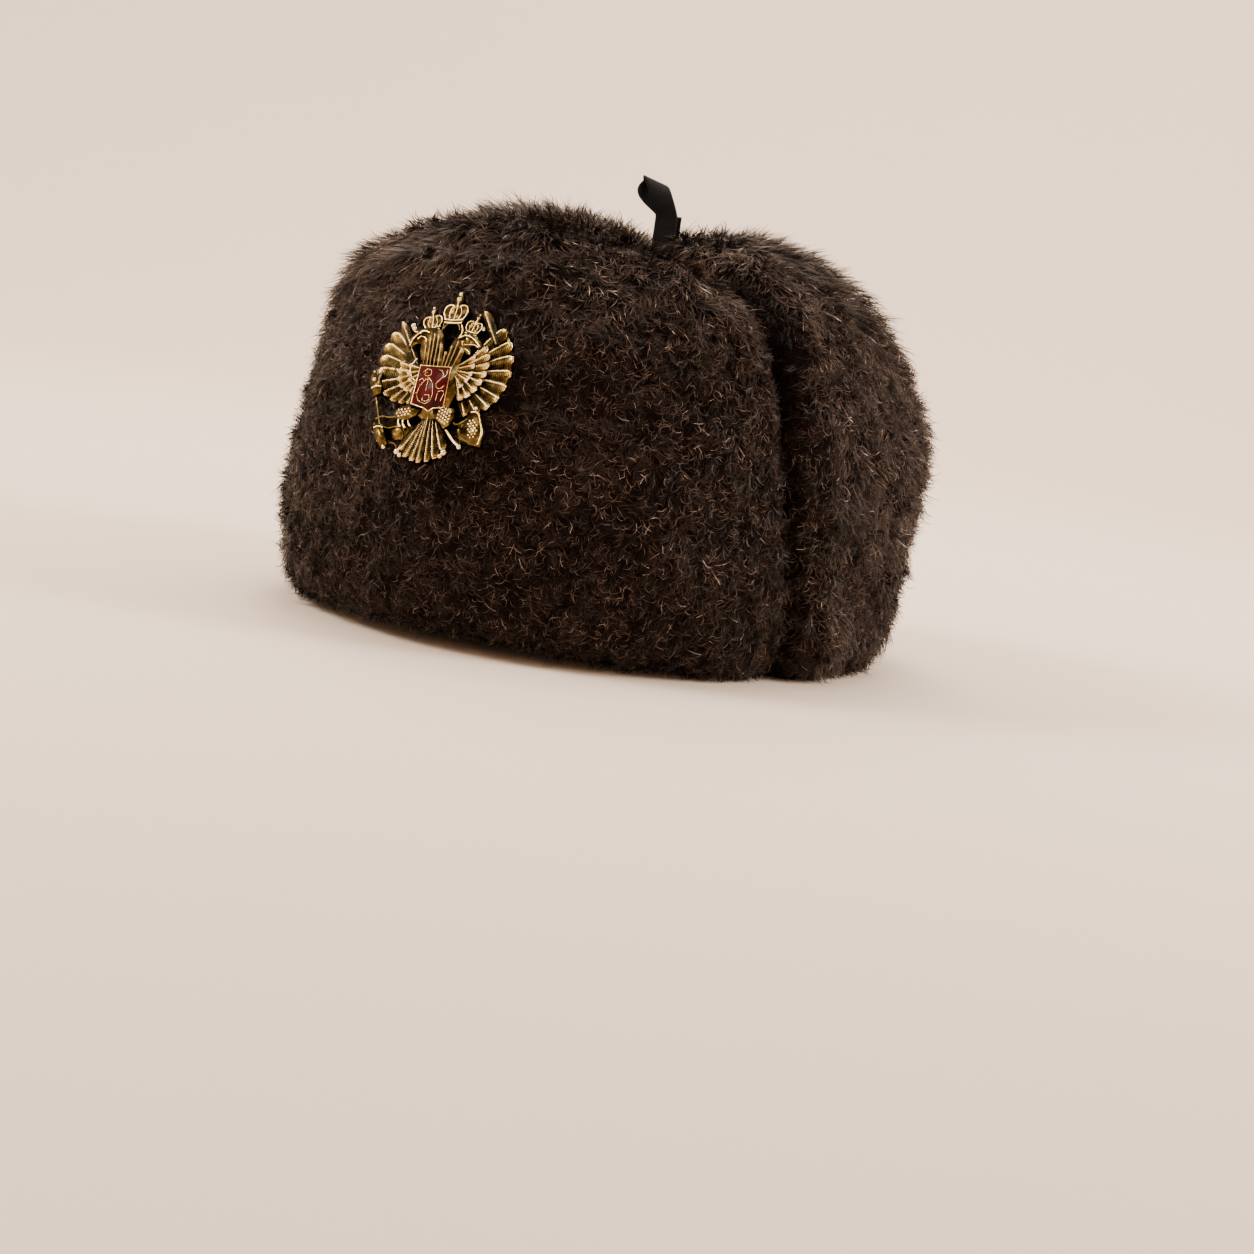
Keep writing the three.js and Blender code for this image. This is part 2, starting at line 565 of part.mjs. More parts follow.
function shieldShape(grow) {
  const { halfWidth, foot, top, bottom, point } = EAGLE.shield;
  const w = halfWidth + grow;
  return [
    [-w, top + grow], [-w, bottom - grow], [-w * foot, bottom - grow], [0, point - grow],
    [w * foot, bottom - grow], [w, bottom - grow], [w, top + grow],
  ];
}

// A flat shape of the badge made solid, between two heights above its back.
function raised(outline, height, from = 0) {
  const points = outline.map(([x, y]) => new THREE.Vector2(x, y).multiplyScalar(BADGE_HEIGHT));
  const geometry = new THREE.ExtrudeGeometry(new THREE.Shape(points), { depth: height, bevelEnabled: false });
  return solidOf(geometry.translate(0, 0, from));
}

const reliefHeight = (layers) => BADGE_PLATE + BADGE_RELIEF * layers;

function eagleSolid() {
  const parts = [];
  const add = (outline, layers) => parts.push(raised(outline, reliefHeight(layers)));
  const addFan = (root, feathers, side = 1) =>
    fan(root, feathers).forEach((outline, i) => {
      add(outline.map(([x, y]) => [side * x, y]), feathers.layers + EAGLE.lapped * (i % 2));
    });
  for (const side of [-1, 1]) {
    for (const feathers of EAGLE.wing) addFan(EAGLE.shoulder, feathers, side);
    add(EAGLE_HEAD.outline.map(([x, y]) => [side * x, y]), EAGLE_HEAD.layers);
  }
  addFan(EAGLE.tailRoot, EAGLE.tail);
  add(EAGLE_BODY.outline, EAGLE_BODY.layers);
  for (const { x, y, width, layers } of EAGLE_CROWNS) {
    add(CROWN_OUTLINE.map(([u, v]) => [x + u * width, y + v * width]), layers);
  }
  for (const { from, to, width, layers } of EAGLE_BARS) add(bar(from, to, width), layers);
  for (const { x, y, radius, layers } of EAGLE_DISCS) add(disc(x, y, radius), layers);
  add(shieldShape(EAGLE.shield.frame), EAGLE.shield.layers);
  const cast = wasm.Manifold.union([...parts, ...prongShapes(0).map(solidOf)]);
  const pocketFloor = reliefHeight(EAGLE.shield.layers) - ENAMEL_THICKNESS - FIT_CLEARANCE;
  return cast.subtract(raised(shieldShape(0), ENAMEL_THICKNESS * 3, pocketFloor));
}

function badge() {
  const group = new THREE.Group();
  group.applyMatrix4(BADGE_FRAME);
  group.add(meshOf("badge_eagle", geometryFrom(eagleSolid()), GILT));
  const enamelBack = reliefHeight(EAGLE.shield.layers) - ENAMEL_THICKNESS;
  const enamel = raised(shieldShape(-FIT_CLEARANCE / BADGE_HEIGHT), ENAMEL_THICKNESS, enamelBack);
  group.add(meshOf("badge_shield", geometryFrom(enamel), RED_ENAMEL));
  return group;
}

// The tie: a knot over the crown, a standing loop and a loose end that rise from it, and a strap to each
// ear flap. The knot's outline is in shares of its width and height.
const KNOT_OUTLINE = [
  [-0.5, 0.3], [-0.34, 0], [0.34, 0], [0.5, 0.3], [0.5, 0.72], [0.3, 1], [-0.3, 1], [-0.5, 0.72],
];

function knot() {
  const points = KNOT_OUTLINE.map(([x, y]) => new THREE.Vector2(x * KNOT.width, y * KNOT.height));
  const geometry = new THREE.ExtrudeGeometry(new THREE.Shape(points), {
    depth: KNOT.depth - 2 * KNOT.rounding,
    bevelSize: KNOT.rounding,
    bevelThickness: KNOT.rounding,
    bevelOffset: -KNOT.rounding,
    bevelSegments: 2,
  });
  geometry
    .translate(0, 0, KNOT.rounding - KNOT.depth / 2)
    .rotateX(Math.PI / 2)
    .translate(0, TIE_BACK, KNOT_BASE);
  return meshOf("tie_knot", geometry, BLACK_RIBBON);
}

// Leans everything above the stem to the wearer's right and turns it a little, as a creased ribbon does.
function creaseLoop(geometry) {
  const at = geometry.attributes.position;
  const lean = degToRad(LOOP_LEAN);
  for (let i = 0; i < at.count; i++) {
    const above = Math.max(at.getZ(i) - LOOP_STEM, 0);
    const share = Math.min(above / LOOP_HEAD, 1);
    const turned = new THREE.Vector2(at.getX(i), at.getY(i));
    const droop = LOOP_SAG * share * turned.x;
    turned.rotateAround(new THREE.Vector2(), degToRad(LOOP_TWIST) * share);
    const stem = at.getZ(i) - above;
    at.setXYZ(i, turned.x - above * Math.sin(lean), turned.y, stem + above * Math.cos(lean) - droop);
  }
  return geometry;
}

const LOOP_FORM = [ // the half opening between the loop's two layers, from the knot to its top
  { height: 0, open: 0.08 },
  { height: 0.3, open: 0.16 },
  { height: 0.56, open: 0.2 },
  { height: 0.75, open: 0.8 },
  { height: 0.9, open: 1 },
  { height: 0.98, open: 0.6 },
];

// Turns a piece of the tie about the knot and sets it on the knot's top.
function setOnKnot(geometry) {
  return geometry.rotateZ(degToRad(LOOP_TURN)).translate(0, TIE_BACK, KNOT_TOP + FIT_CLEARANCE);
}

function standingLoop() {
  const tall = LOOP_STEM + LOOP_HEAD;
  const layer = (inset) => {
    const half = LOOP_FORM.map(({ height, open }) => new THREE.Vector2(
      (open * LOOP_OPENING) / 2 + RIBBON_THICKNESS - inset,
      inset + height * (tall - 2 * inset),
    ));
    const other = half.map(({ x, y }) => new THREE.Vector2(-x, y)).reverse();
    return [...half, new THREE.Vector2(0, tall - inset), ...other];
  };
  const shape = new THREE.Shape(layer(0));
  shape.holes.push(new THREE.Path(layer(RIBBON_THICKNESS)));
  const geometry = new THREE.ExtrudeGeometry(shape, { depth: RIBBON_WIDTH, steps: 4, bevelEnabled: false })
    .translate(0, 0, -RIBBON_WIDTH / 2)
    .rotateX(Math.PI / 2)
    .rotateZ(Math.PI / 2);
  return meshOf("tie_loop", setOnKnot(creaseLoop(geometry)), BLACK_RIBBON);
}

function looseEnd() {
  const geometry = new THREE.BoxGeometry(RIBBON_WIDTH, RIBBON_THICKNESS, LOOSE_END.length, 3, 1, 4)
    .translate(LOOSE_END.aside, LOOSE_END.behind, LOOSE_END.length / 2);
  return meshOf("tie_end", setOnKnot(geometry), BLACK_RIBBON);
}

// A strap runs from the knot into a slit in its flap's tip. grow makes the slit from the strap's own form.
function strapGeometry(side, grow = 0) {
  const size = [STRAP_LENGTH, STRAP_WIDTH, RIBBON_THICKNESS].map((length) => length + 2 * grow);
  const aside = KNOT.width / 2 + FIT_CLEARANCE + STRAP_LENGTH / 2;
  return new THREE.BoxGeometry(...size).translate(side * aside, TIE_BACK, KNOT_BASE + KNOT.height / 2);
}

// Stands the hat on the floor with its box centred on the origin.
function standing(group) {
  const box = new THREE.Box3().setFromObject(group, true);
  const middle = box.getCenter(new THREE.Vector3());
  group.position.set(-middle.x, -middle.y, -box.min.z);
  return group;
}

const hat = new THREE.Group();
hat.add(crown(), frontFlap(), neckFlap(), ...earFlaps(), badge());
hat.add(knot(), standingLoop(), looseEnd());
hat.add(meshOf("tie_strap_left", strapGeometry(1), BLACK_RIBBON));
hat.add(meshOf("tie_strap_right", strapGeometry(-1), BLACK_RIBBON));
const placed = new THREE.Group();
placed.add(standing(hat));

export default placed;
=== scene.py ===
"""An ushanka: padded flaps under dark brown pile, a cloth crown, a cast badge and a ribbon tie."""
import math

import bmesh
import bpy
import numpy as np
from mathutils import Matrix, Vector, kdtree
from mathutils.bvhtree import BVHTree


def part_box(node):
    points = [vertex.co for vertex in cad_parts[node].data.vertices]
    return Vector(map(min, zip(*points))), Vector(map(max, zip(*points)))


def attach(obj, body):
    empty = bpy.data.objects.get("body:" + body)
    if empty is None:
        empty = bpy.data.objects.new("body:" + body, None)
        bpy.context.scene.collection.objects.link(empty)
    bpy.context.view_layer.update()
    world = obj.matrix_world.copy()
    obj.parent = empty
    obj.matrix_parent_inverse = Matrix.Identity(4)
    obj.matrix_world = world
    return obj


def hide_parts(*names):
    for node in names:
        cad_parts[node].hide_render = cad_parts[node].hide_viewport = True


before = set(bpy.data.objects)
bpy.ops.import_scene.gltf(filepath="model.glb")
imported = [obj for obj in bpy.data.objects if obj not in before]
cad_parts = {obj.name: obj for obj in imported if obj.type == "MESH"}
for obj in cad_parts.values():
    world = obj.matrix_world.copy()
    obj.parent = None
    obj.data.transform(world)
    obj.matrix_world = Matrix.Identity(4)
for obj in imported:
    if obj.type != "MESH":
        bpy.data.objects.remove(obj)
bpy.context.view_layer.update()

bl_info = {
    "name": "Ushanka dresser",
    "version": (1, 0, 0),
    "blender": (4, 5, 0),
    "location": "View3D > Sidebar > Ushanka",
    "description": "Dresses a packed fur hat in pile, cloth, gilded brass and ribbon",
    "category": "Object",
}

MM = 0.001
FLAPS = ("front_flap", "neck_flap", "ear_flap_left", "ear_flap_right")
CROWN_BOX = [Vector(corner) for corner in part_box("crown")]
CROWN_MIDDLE = (CROWN_BOX[0] + CROWN_BOX[1]) / 2
CROWN_HALF = (CROWN_BOX[1] - CROWN_BOX[0]) / 2


# Colour and nodes

def linear(code, alpha=1.0):
    """An sRGB hex value as the linear colour that a shader socket takes."""
    def one(channel):
        return channel / 12.92 if channel <= 0.04045 else ((channel + 0.055) / 1.055) ** 2.4
    return tuple(one(int(code[i:i + 2], 16) / 255) for i in (1, 3, 5)) + (alpha,)


def add_node(tree, kind, links=None, **settings):
    """Adds a node. settings are its own properties, and links are its inputs: a value, or a socket to join."""
    node = tree.nodes.new("ShaderNode" + kind)
    for name, value in settings.items():
        setattr(node, name, value)
    for name, value in (links or {}).items():
        socket = node.inputs[name]
        if isinstance(value, bpy.types.NodeSocket):
            tree.links.new(value, socket)
        else:
            socket.default_value = value
    return node


def set_ramp(node, stops):
    """Gives a colour ramp its stops: (place, linear colour) from first to last."""
    ramp = node.color_ramp
    while len(ramp.elements) > 1:
        ramp.elements.remove(ramp.elements[-1])
    ramp.elements[0].position, ramp.elements[0].color = stops[0]
    for place, colour in stops[1:]:
        ramp.elements.new(place).color = colour


def new_material(name, roughness, specular=0.5):
    """An empty material with one Principled shader, as (material, tree, shader)."""
    material = bpy.data.materials.new(name)
    material.use_nodes = True
    tree = material.node_tree
    tree.nodes.clear()
    output = tree.nodes.new("ShaderNodeOutputMaterial")
    shader = tree.nodes.new("ShaderNodeBsdfPrincipled")
    tree.links.new(shader.outputs["BSDF"], output.inputs["Surface"])
    shader.inputs["Roughness"].default_value = roughness
    shader.inputs["Specular IOR Level"].default_value = specular
    return material, tree, shader


GLINT_TONE = 0.965  # strands with a stored tone above this get a painted glint at the tip
GLINT_START = 0.7  # share of a strand where that painted glint starts


def pile_strand_material(look):
    """Modacrylic pile, dyed brown and tumbled: dark at its root, partly dye and partly painted shade deep in the pile,
    and paler and redder towards its tip.
    """
    material, tree, shader = new_material("dyed modacrylic pile", 0.36, 0.08)
    place = add_node(tree, "UVMap", uv_map="OFBake")
    parts = add_node(tree, "SeparateXYZ", {"Vector": place.outputs["UV"]})
    dark = add_node(tree, "ValToRGB", {"Fac": parts.outputs["Y"]})
    # the root and low stops darken each strand's foot: partly dye, partly painted shade between the tufts
    set_ramp(dark, [(0.0, look.root), (0.35, look.low), (1.0, look.dark_tip)])
    pale = add_node(tree, "ValToRGB", {"Fac": parts.outputs["Y"]})
    set_ramp(pale, [(0.0, look.root), (0.3, look.middle), (1.0, look.pale_tip)])
    mixed = add_node(tree, "Mix", {0: parts.outputs["X"], 6: dark.outputs["Color"], 7: pale.outputs["Color"]},
                     data_type="RGBA")
    # a few strands' tips take a painted glint, a highlight set into their colour
    rare = add_node(tree, "Math", {0: parts.outputs["X"], 1: GLINT_TONE}, operation="GREATER_THAN")
    end = add_node(tree, "Math", {0: parts.outputs["Y"], 1: GLINT_START}, operation="GREATER_THAN")
    both = add_node(tree, "Math", {0: rare.outputs["Value"], 1: end.outputs["Value"]}, operation="MULTIPLY")
    glint_mix = add_node(tree, "Mix", {0: both.outputs["Value"], 6: mixed.outputs[2], 7: look.glint},
                       data_type="RGBA")
    tree.links.new(glint_mix.outputs[2], shader.inputs["Base Color"])
    return material


def pile_backing_material(look):
    """Knitted pile backing, dyed with the pile: the near-black ground that shows between the tufts, in the strands'
    root colours, which are partly painted shade.
    """
    material, tree, shader = new_material("dyed knitted backing", 1.0, 0.1)
    place = add_node(tree, "TexCoord")
    noise = add_node(tree, "TexNoise", {"Vector": place.outputs["Object"], "Scale": 1 / (3 * MM), "Detail": 4.0})
    tone = add_node(tree, "ValToRGB", {"Fac": noise.outputs["Fac"]})
    set_ramp(tone, [(0.3, look.root), (0.75, look.low)])
    tree.links.new(tone.outputs["Color"], shader.inputs["Base Color"])
    bump = add_node(tree, "Bump", {"Strength": 0.6, "Distance": 1.5 * MM, "Height": noise.outputs["Fac"]})
    tree.links.new(bump.outputs["Normal"], shader.inputs["Normal"])
    return material


def gilt_material(look):
    """Die-cast brass, gilded, then darkened and wiped: bright on raised ribs and rims, brown in the recesses. The
    near-white rib colour is partly worn gilding and partly a painted highlight, and the dark web colour partly wiped
    brass and partly a painted reflection of the dark surroundings.
    """
    material, tree, shader = new_material("antiqued gilt brass", 0.2)
    place = add_node(tree, "UVMap", uv_map="relief")
    parts = add_node(tree, "SeparateXYZ", {"Vector": place.outputs["UV"]})
    where = add_node(tree, "TexCoord")
    stain = add_node(tree, "TexNoise", {"Vector": where.outputs["Object"], "Scale": 1 / (2.2 * MM), "Detail": 5.0})
    spread = add_node(tree, "MapRange", {"Value": stain.outputs["Fac"], "From Min": 0.3, "From Max": 0.7,
                                         "To Min": -0.16, "To Max": 0.14})
    barbs = add_node(tree, "Math", {0: parts.outputs["X"], 1: math.tau}, operation="MULTIPLY")
    wave = add_node(tree, "Math", {0: barbs.outputs["Value"]}, operation="SINE")
    hatched = add_node(tree, "Math", {0: wave.outputs["Value"], 1: 0.1, 2: spread.outputs["Result"]},
                       operation="MULTIPLY_ADD")
    worn = add_node(tree, "Math", {0: parts.outputs["Y"], 1: hatched.outputs["Value"]}, operation="ADD")
    tone = add_node(tree, "ValToRGB", {"Fac": worn.outputs["Value"]})
    # the web stop is partly a painted dark reflection, the rib stop partly a painted highlight
    set_ramp(tone, [(0.08, look.recess), (0.4, look.web), (0.66, look.gilt),
                    (0.88, look.rib)])
    tree.links.new(tone.outputs["Color"], shader.inputs["Base Color"])
    rough = add_node(tree, "MapRange", {"Value": worn.outputs["Value"], "From Min": 0.0, "From Max": 1.0,
                                        "To Min": 0.28, "To Max": 0.12})
    tree.links.new(rough.outputs["Result"], shader.inputs["Roughness"])
    shader.inputs["Metallic"].default_value = 1.0
    grain = add_node(tree, "Math", {0: wave.outputs["Value"], 1: 0.35, 2: stain.outputs["Fac"]},
                     operation="MULTIPLY_ADD")
    bump = add_node(tree, "Bump", {"Strength": 0.5, "Distance": 0.3 * MM, "Height": grain.outputs["Value"]})
    tree.links.new(bump.outputs["Normal"], shader.inputs["Normal"])
    return material


def enamel_material(look):
    """Glass enamel, fired over a hatched pocket: deep red, darker where it lies thicker, with a clear gloss."""
    material, tree, shader = new_material("fired red enamel", 0.34, 0.1)
    where = add_node(tree, "TexCoord")
    cloud = add_node(tree, "TexNoise", {"Vector": where.outputs["Object"], "Scale": 1 / (5 * MM), "Detail": 3.0})
    tone = add_node(tree, "ValToRGB", {"Fac": cloud.outputs["Fac"]})
    set_ramp(tone, [(0.3, look.enamel_deep), (0.7, look.enamel)])
    tree.links.new(tone.outputs["Color"], shader.inputs["Base Color"])
    ripple = add_node(tree, "Bump", {"Strength": 0.12, "Distance": 0.2 * MM, "Height": cloud.outputs["Fac"]})
    tree.links.new(ripple.outputs["Normal"], shader.inputs["Normal"])
    return material


def ribbon_material(look):
    """Grosgrain ribbon, woven rayon over a thicker weft: near-black with fine ribs across its length."""
    material, tree, shader = new_material("woven rayon grosgrain", 0.7, 0.22)
    place = add_node(tree, "UVMap", uv_map="weave")
    parts = add_node(tree, "SeparateXYZ", {"Vector": place.outputs["UV"]})
    ribs = add_node(tree, "Math", {0: parts.outputs["Y"], 1: math.tau / (0.55 * MM)}, operation="MULTIPLY")
    rib = add_node(tree, "Math", {0: ribs.outputs["Value"]}, operation="SINE")
    warps = add_node(tree, "Math", {0: parts.outputs["X"], 1: math.tau / (0.4 * MM)}, operation="MULTIPLY")
    warp = add_node(tree, "Math", {0: warps.outputs["Value"]}, operation="SINE")
    weave = add_node(tree, "Math", {0: warp.outputs["Value"], 1: 0.35, 2: rib.outputs["Value"]},
                     operation="MULTIPLY_ADD")
    where = add_node(tree, "TexCoord")
    dust = add_node(tree, "TexNoise", {"Vector": where.outputs["Object"], "Scale": 1 / (4 * MM), "Detail": 4.0})
    tone = add_node(tree, "ValToRGB", {"Fac": dust.outputs["Fac"]})
    set_ramp(tone, [(0.3, look.cloth), (0.75, look.sheen)])
    tree.links.new(tone.outputs["Color"], shader.inputs["Base Color"])
    bump = add_node(tree, "Bump", {"Strength": 0.6, "Distance": 0.14 * MM, "Height": weave.outputs["Value"]})
    tree.links.new(bump.outputs["Normal"], shader.inputs["Normal"])
    return material


def crown_material(look):
    """Cotton twill, dyed in the piece: brown-black, uneven in tone, with slanting ribs about 2 mm apart."""
    material, tree, shader = new_material("woven cotton twill", 0.8, 0.15)
    where = add_node(tree, "TexCoord")
    turned = add_node(tree, "Mapping", {"Vector": where.outputs["Object"], "Rotation": (0.6, 0.3, 0.8)})
    twill = add_node(tree, "TexWave", {"Vector": turned.outputs["Vector"], "Scale": 1 / (7 * MM), "Distortion": 1.2,
                                       "Detail": 2.0})
    cloud = add_node(tree, "TexNoise", {"Vector": where.outputs["Object"], "Scale": 1 / (25 * MM), "Detail": 5.0})
    tone = add_node(tree, "ValToRGB", {"Fac": cloud.outputs["Fac"]})
    set_ramp(tone, [(0.3, look.dark), (0.75, look.light)])
    tree.links.new(tone.outputs["Color"], shader.inputs["Base Color"])
    bump = add_node(tree, "Bump", {"Strength": 0.4, "Distance": 0.2 * MM, "Height": twill.outputs["Fac"]})
    tree.links.new(bump.outputs["Normal"], shader.inputs["Normal"])
    return material


# Shapes from the frame

def node_object(name):
    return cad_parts[name]


def node_bvh(name):
    """A search tree over a node's own faces, in metres."""
    mesh = node_object(name).data
    return BVHTree.FromPolygons([v.co for v in mesh.vertices], [tuple(p.vertices) for p in mesh.polygons])


def new_object(name, mesh, material):
    obj = bpy.data.objects.new(name, mesh)
    bpy.context.scene.collection.objects.link(obj)
    mesh.materials.clear()
    mesh.materials.append(material)
    return obj


def welded(node):
    """A bmesh of a node's own form, with the corners of its faces joined."""
    form = bmesh.new()
    form.from_mesh(node_object(node).data)
    bmesh.ops.remove_doubles(form, verts=form.verts, dist=0.01 * MM)
    return form


def object_of(form, name, material):
    """Turns a bmesh into an object, and frees it."""
    mesh = bpy.data.meshes.new(name)
    form.to_mesh(mesh)
    form.free()
    return new_object(name, mesh, material)


def apply_modifiers(obj):
    """Makes an object's modifiers part of its mesh."""
    graph = bpy.context.evaluated_depsgraph_get()
    mesh = bpy.data.meshes.new_from_object(obj.evaluated_get(graph))
    old = obj.data
    obj.modifiers.clear()
    obj.data = mesh
    bpy.data.meshes.remove(old)


def waves(points, length, seed, count=7):
    """Smooth noise from -1 to 1 over an array of places, with features about length long."""
    rng = np.random.default_rng(seed)
    total = np.zeros(len(points))
    for _ in range(count):
        way = rng.normal(size=3)
        way *= rng.uniform(0.6, 1.5) * math.tau / length / np.linalg.norm(way)
        total += np.sin(points @ way + rng.uniform(0, math.tau))
    return np.clip(total / math.sqrt(count), -1.6, 1.6) / 1.6


def unit(vectors):
    return vectors / (np.linalg.norm(vectors, axis=1, keepdims=True) + 1e-12)


def mesh_arrays(obj):
    """An object's triangles as arrays: corners, areas and vertex numbers."""
    mesh = obj.data
    mesh.calc_loop_triangles()
    at = np.empty(len(mesh.vertices) * 3)
    mesh.vertices.foreach_get("co", at)
    index = np.empty(len(mesh.loop_triangles) * 3, dtype=np.int64)
    mesh.loop_triangles.foreach_get("vertices", index)
    corners = at.reshape(-1, 3)[index.reshape(-1, 3)]
    cross = np.cross(corners[:, 1] - corners[:, 0], corners[:, 2] - corners[:, 0])
    return corners, np.linalg.norm(cross, axis=1) / 2, index.reshape(-1, 3)


def vertex_normals(obj):
    mesh = obj.data
    out = np.empty(len(mesh.vertices) * 3)
    mesh.vertices.foreach_get("normal", out)
    return out.reshape(-1, 3)


def sow(obj, count, rng):
    """Random places on an object's furred faces, evenly by area, with smooth normals."""
    corners, areas, index = mesh_arrays(obj)
    normals = vertex_normals(obj)
    weight = areas * furred(corners.mean(axis=1))
    face = rng.choice(len(areas), size=count, p=weight / weight.sum())
    a, b = rng.random(count), rng.random(count)
    flip = a + b > 1
    a[flip], b[flip] = 1 - a[flip], 1 - b[flip]
    share = np.stack([1 - a - b, a, b], axis=1)[:, :, None]
    return (corners[face] * share).sum(axis=1), unit((normals[index[face]] * share).sum(axis=1))


BARE_NEAR_CROWN = 5.5 * MM


def furred(middles):
    """Tells for each face's middle whether pile grows there: not where a flap lies against the crown."""
    crown = node_bvh("crown")
    away = np.array([crown.find_nearest(Vector(p))[3] for p in middles])
    return (away > BARE_NEAR_CROWN).astype(float)


class BadgeShade:
    """Where the badge lies over the front flap, so that the pile there is pressed flat behind it."""

    NODES = ("badge_eagle", "badge_shield")
    REACH = 45 * MM  # round the badge's middle
    AHEAD, DEPTH = 30 * MM, 34 * MM  # a ray starts this far in front of a place and runs this far

    def __init__(self):
        self.trees = [node_bvh(name) for name in self.NODES]
        low, high = (Vector(corner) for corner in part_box(self.NODES[0]))
        self.middle = np.array((low + high) / 2)
        self.out = badge_matrix().to_3x3() @ Vector((0, 0, 1))

    def covered(self, points):
        """Whether each place lies within the badge's outline, behind it or just in front of it."""
        hit = np.zeros(len(points), dtype=bool)
        near = np.where(np.linalg.norm(points - self.middle, axis=1) < self.REACH)[0]
        for i in near:
            start = Vector(points[i]) + self.out * self.AHEAD
            hit[i] = any(tree.ray_cast(start, -self.out, self.DEPTH)[0] is not None for tree in self.trees)
        return hit

    def pressed(self, points):
        """The same places, none of them further out than just behind the badge's back."""
        way = np.array(self.out)
        rise = (points - np.array(BADGE_PLACE)) @ way
        return points - np.maximum(rise + BADGE_BEHIND, 0)[..., None] * way


ROOT_V, SPAN_V = 0.02, 0.96  # where a strand's root and its length lie in the map that is baked
STRAND_U = 0.004  # half a strand's width in that map


def strands_mesh(name, rows, half_widths, sides, tones, reaches):
    """One joined mesh of flat strands, pointed at both ends. rows holds each strand's places from root to tip."""
    count, steps = rows.shape[0], rows.shape[1]
    per = 2 * steps - 2
    verts = np.empty((count, per, 3))
    verts[:, 0] = rows[:, 0]
    verts[:, 1:-1:2] = rows[:, 1:-1] - sides * half_widths[:, :, None]
    verts[:, 2:-1:2] = rows[:, 1:-1] + sides * half_widths[:, :, None]
    verts[:, -1] = rows[:, -1]
    quads = [[2 * i + 1, 2 * i + 2, 2 * i + 4, 2 * i + 3] for i in range(steps - 3)]
    pattern = np.array([0, 2, 1] + [v for quad in quads for v in quad] + [per - 3, per - 2, per - 1])
    sizes = np.array([3] + [4] * (steps - 3) + [3])
    loops = (np.arange(count)[:, None] * per + pattern[None, :]).ravel()
    starts = np.concatenate([[0], np.cumsum(np.tile(sizes, count))[:-1]])
    mesh = bpy.data.meshes.new(name)
    mesh.vertices.add(count * per)
    mesh.vertices.foreach_set("co", verts.ravel())
    mesh.loops.add(len(loops))
    mesh.loops.foreach_set("vertex_index", loops.astype(np.int32))
    mesh.polygons.add(len(starts))
    mesh.polygons.foreach_set("loop_start", starts.astype(np.int32))
    mesh.update(calc_edges=True)
    mesh.polygons.foreach_set("use_smooth", np.ones(len(starts), dtype=bool))
    share = np.concatenate([[0], np.repeat(np.linspace(0, 1, steps)[1:-1], 2), [1]])
    across = np.array([0.0] + [-1.0, 1.0] * (steps - 2) + [0.0]) * STRAND_U
    layer = mesh.uv_layers.new(name="OFBake")
    up = ROOT_V + SPAN_V * (reaches[:, None] * share).ravel()
    uv = np.stack([np.repeat(tones, per) + np.tile(across, count), up], axis=1)
    layer.data.foreach_set("uv", uv[loops].ravel())
    return mesh


COAT_STEPS = (0.0, 0.33, 0.67, 1.0)
COAT_TAPER = (1.0, 0.78)
HAIR_STEPS = (0.0, 0.17, 0.36, 0.56, 0.78, 1.0)
HAIR_TAPER = (0.75, 1.0, 1.0, 0.7)
HAIR_LIFT = 1.0 * MM
HAIR_LENGTH, HAIR_WIDTH = 0.72, 0.66  # of the undercoat's
ROOT_SUNK = 0.4 * MM  # into the padding
FLOOR_GAP = 0.25 * MM
TONE_PATCHES = ((0.6, 14 * MM, 59), (0.4, 45 * MM, 61))  # share, size and seed of the lighter and darker patches
FINE_STEPS = 12
GLINTED = 0.985  # the stored tone of a strand with a painted glint at its tip
DOWN = np.array([0, 0, -1.0])


def ease(values, low, high):
    t = ((values - low) / (high - low)).clip(0, 1)
    return t * t * (3 - 2 * t)


CALM_TOP = (100 * MM, 145 * MM)  # where combing sets in, and where it is full
CALM_RIGHT = (50 * MM, 105 * MM)
CALM_LEFT = (80 * MM, 120 * MM)
CALM_SHARES = {"all": 0.06, "top": 0.8, "side": 0.5, "waves": 0.3}
CALM_SIZE, CALM_SEED = 60 * MM, 5
OUTWARDS = 0.8  # how far the pile is combed outwards for each part down
CREASE_TOP = (70 * MM, 130 * MM)
CREASE_NEAR, CREASE_FAR, CREASE_WIDER = 3 * MM, 13 * MM, 10 * MM
CREASE_LOW = 0.12  # how deep a crease is low down, as a share of its depth at the top
# where the pile along a flap's top edge is paled as a painted highlight
EDGE_STARTS, EDGE_ENDS = (13 * MM, 19 * MM), (24 * MM, 36 * MM)


def calmness(places):
    """How far the pile is combed: 1 along the hat's top and its sides, 0 in front, where it curls in small swirls."""
    high = ease(places[:, 2], *CALM_TOP)
    right = ease(-places[:, 0], *CALM_RIGHT)
    left = ease(places[:, 0] + 0.5 * places[:, 1], *CALM_LEFT)
    combed = CALM_SHARES["top"] * high + CALM_SHARES["side"] * (right + left)
    return (CALM_SHARES["all"] + combed + CALM_SHARES["waves"] * waves(places, CALM_SIZE, CALM_SEED)).clip(0, 1)


def comb(places, ups, turns):
    """The way that the pile lies: turned by an angle from outwards and down the hat."""
    fall = DOWN + OUTWARDS * unit(places * np.array([1, 1, 0]))
    down = unit(fall - ups * (ups * fall).sum(axis=1, keepdims=True))
    aside = np.cross(ups, down)
    return unit(np.cos(turns)[:, None] * down + np.sin(turns)[:, None] * aside)


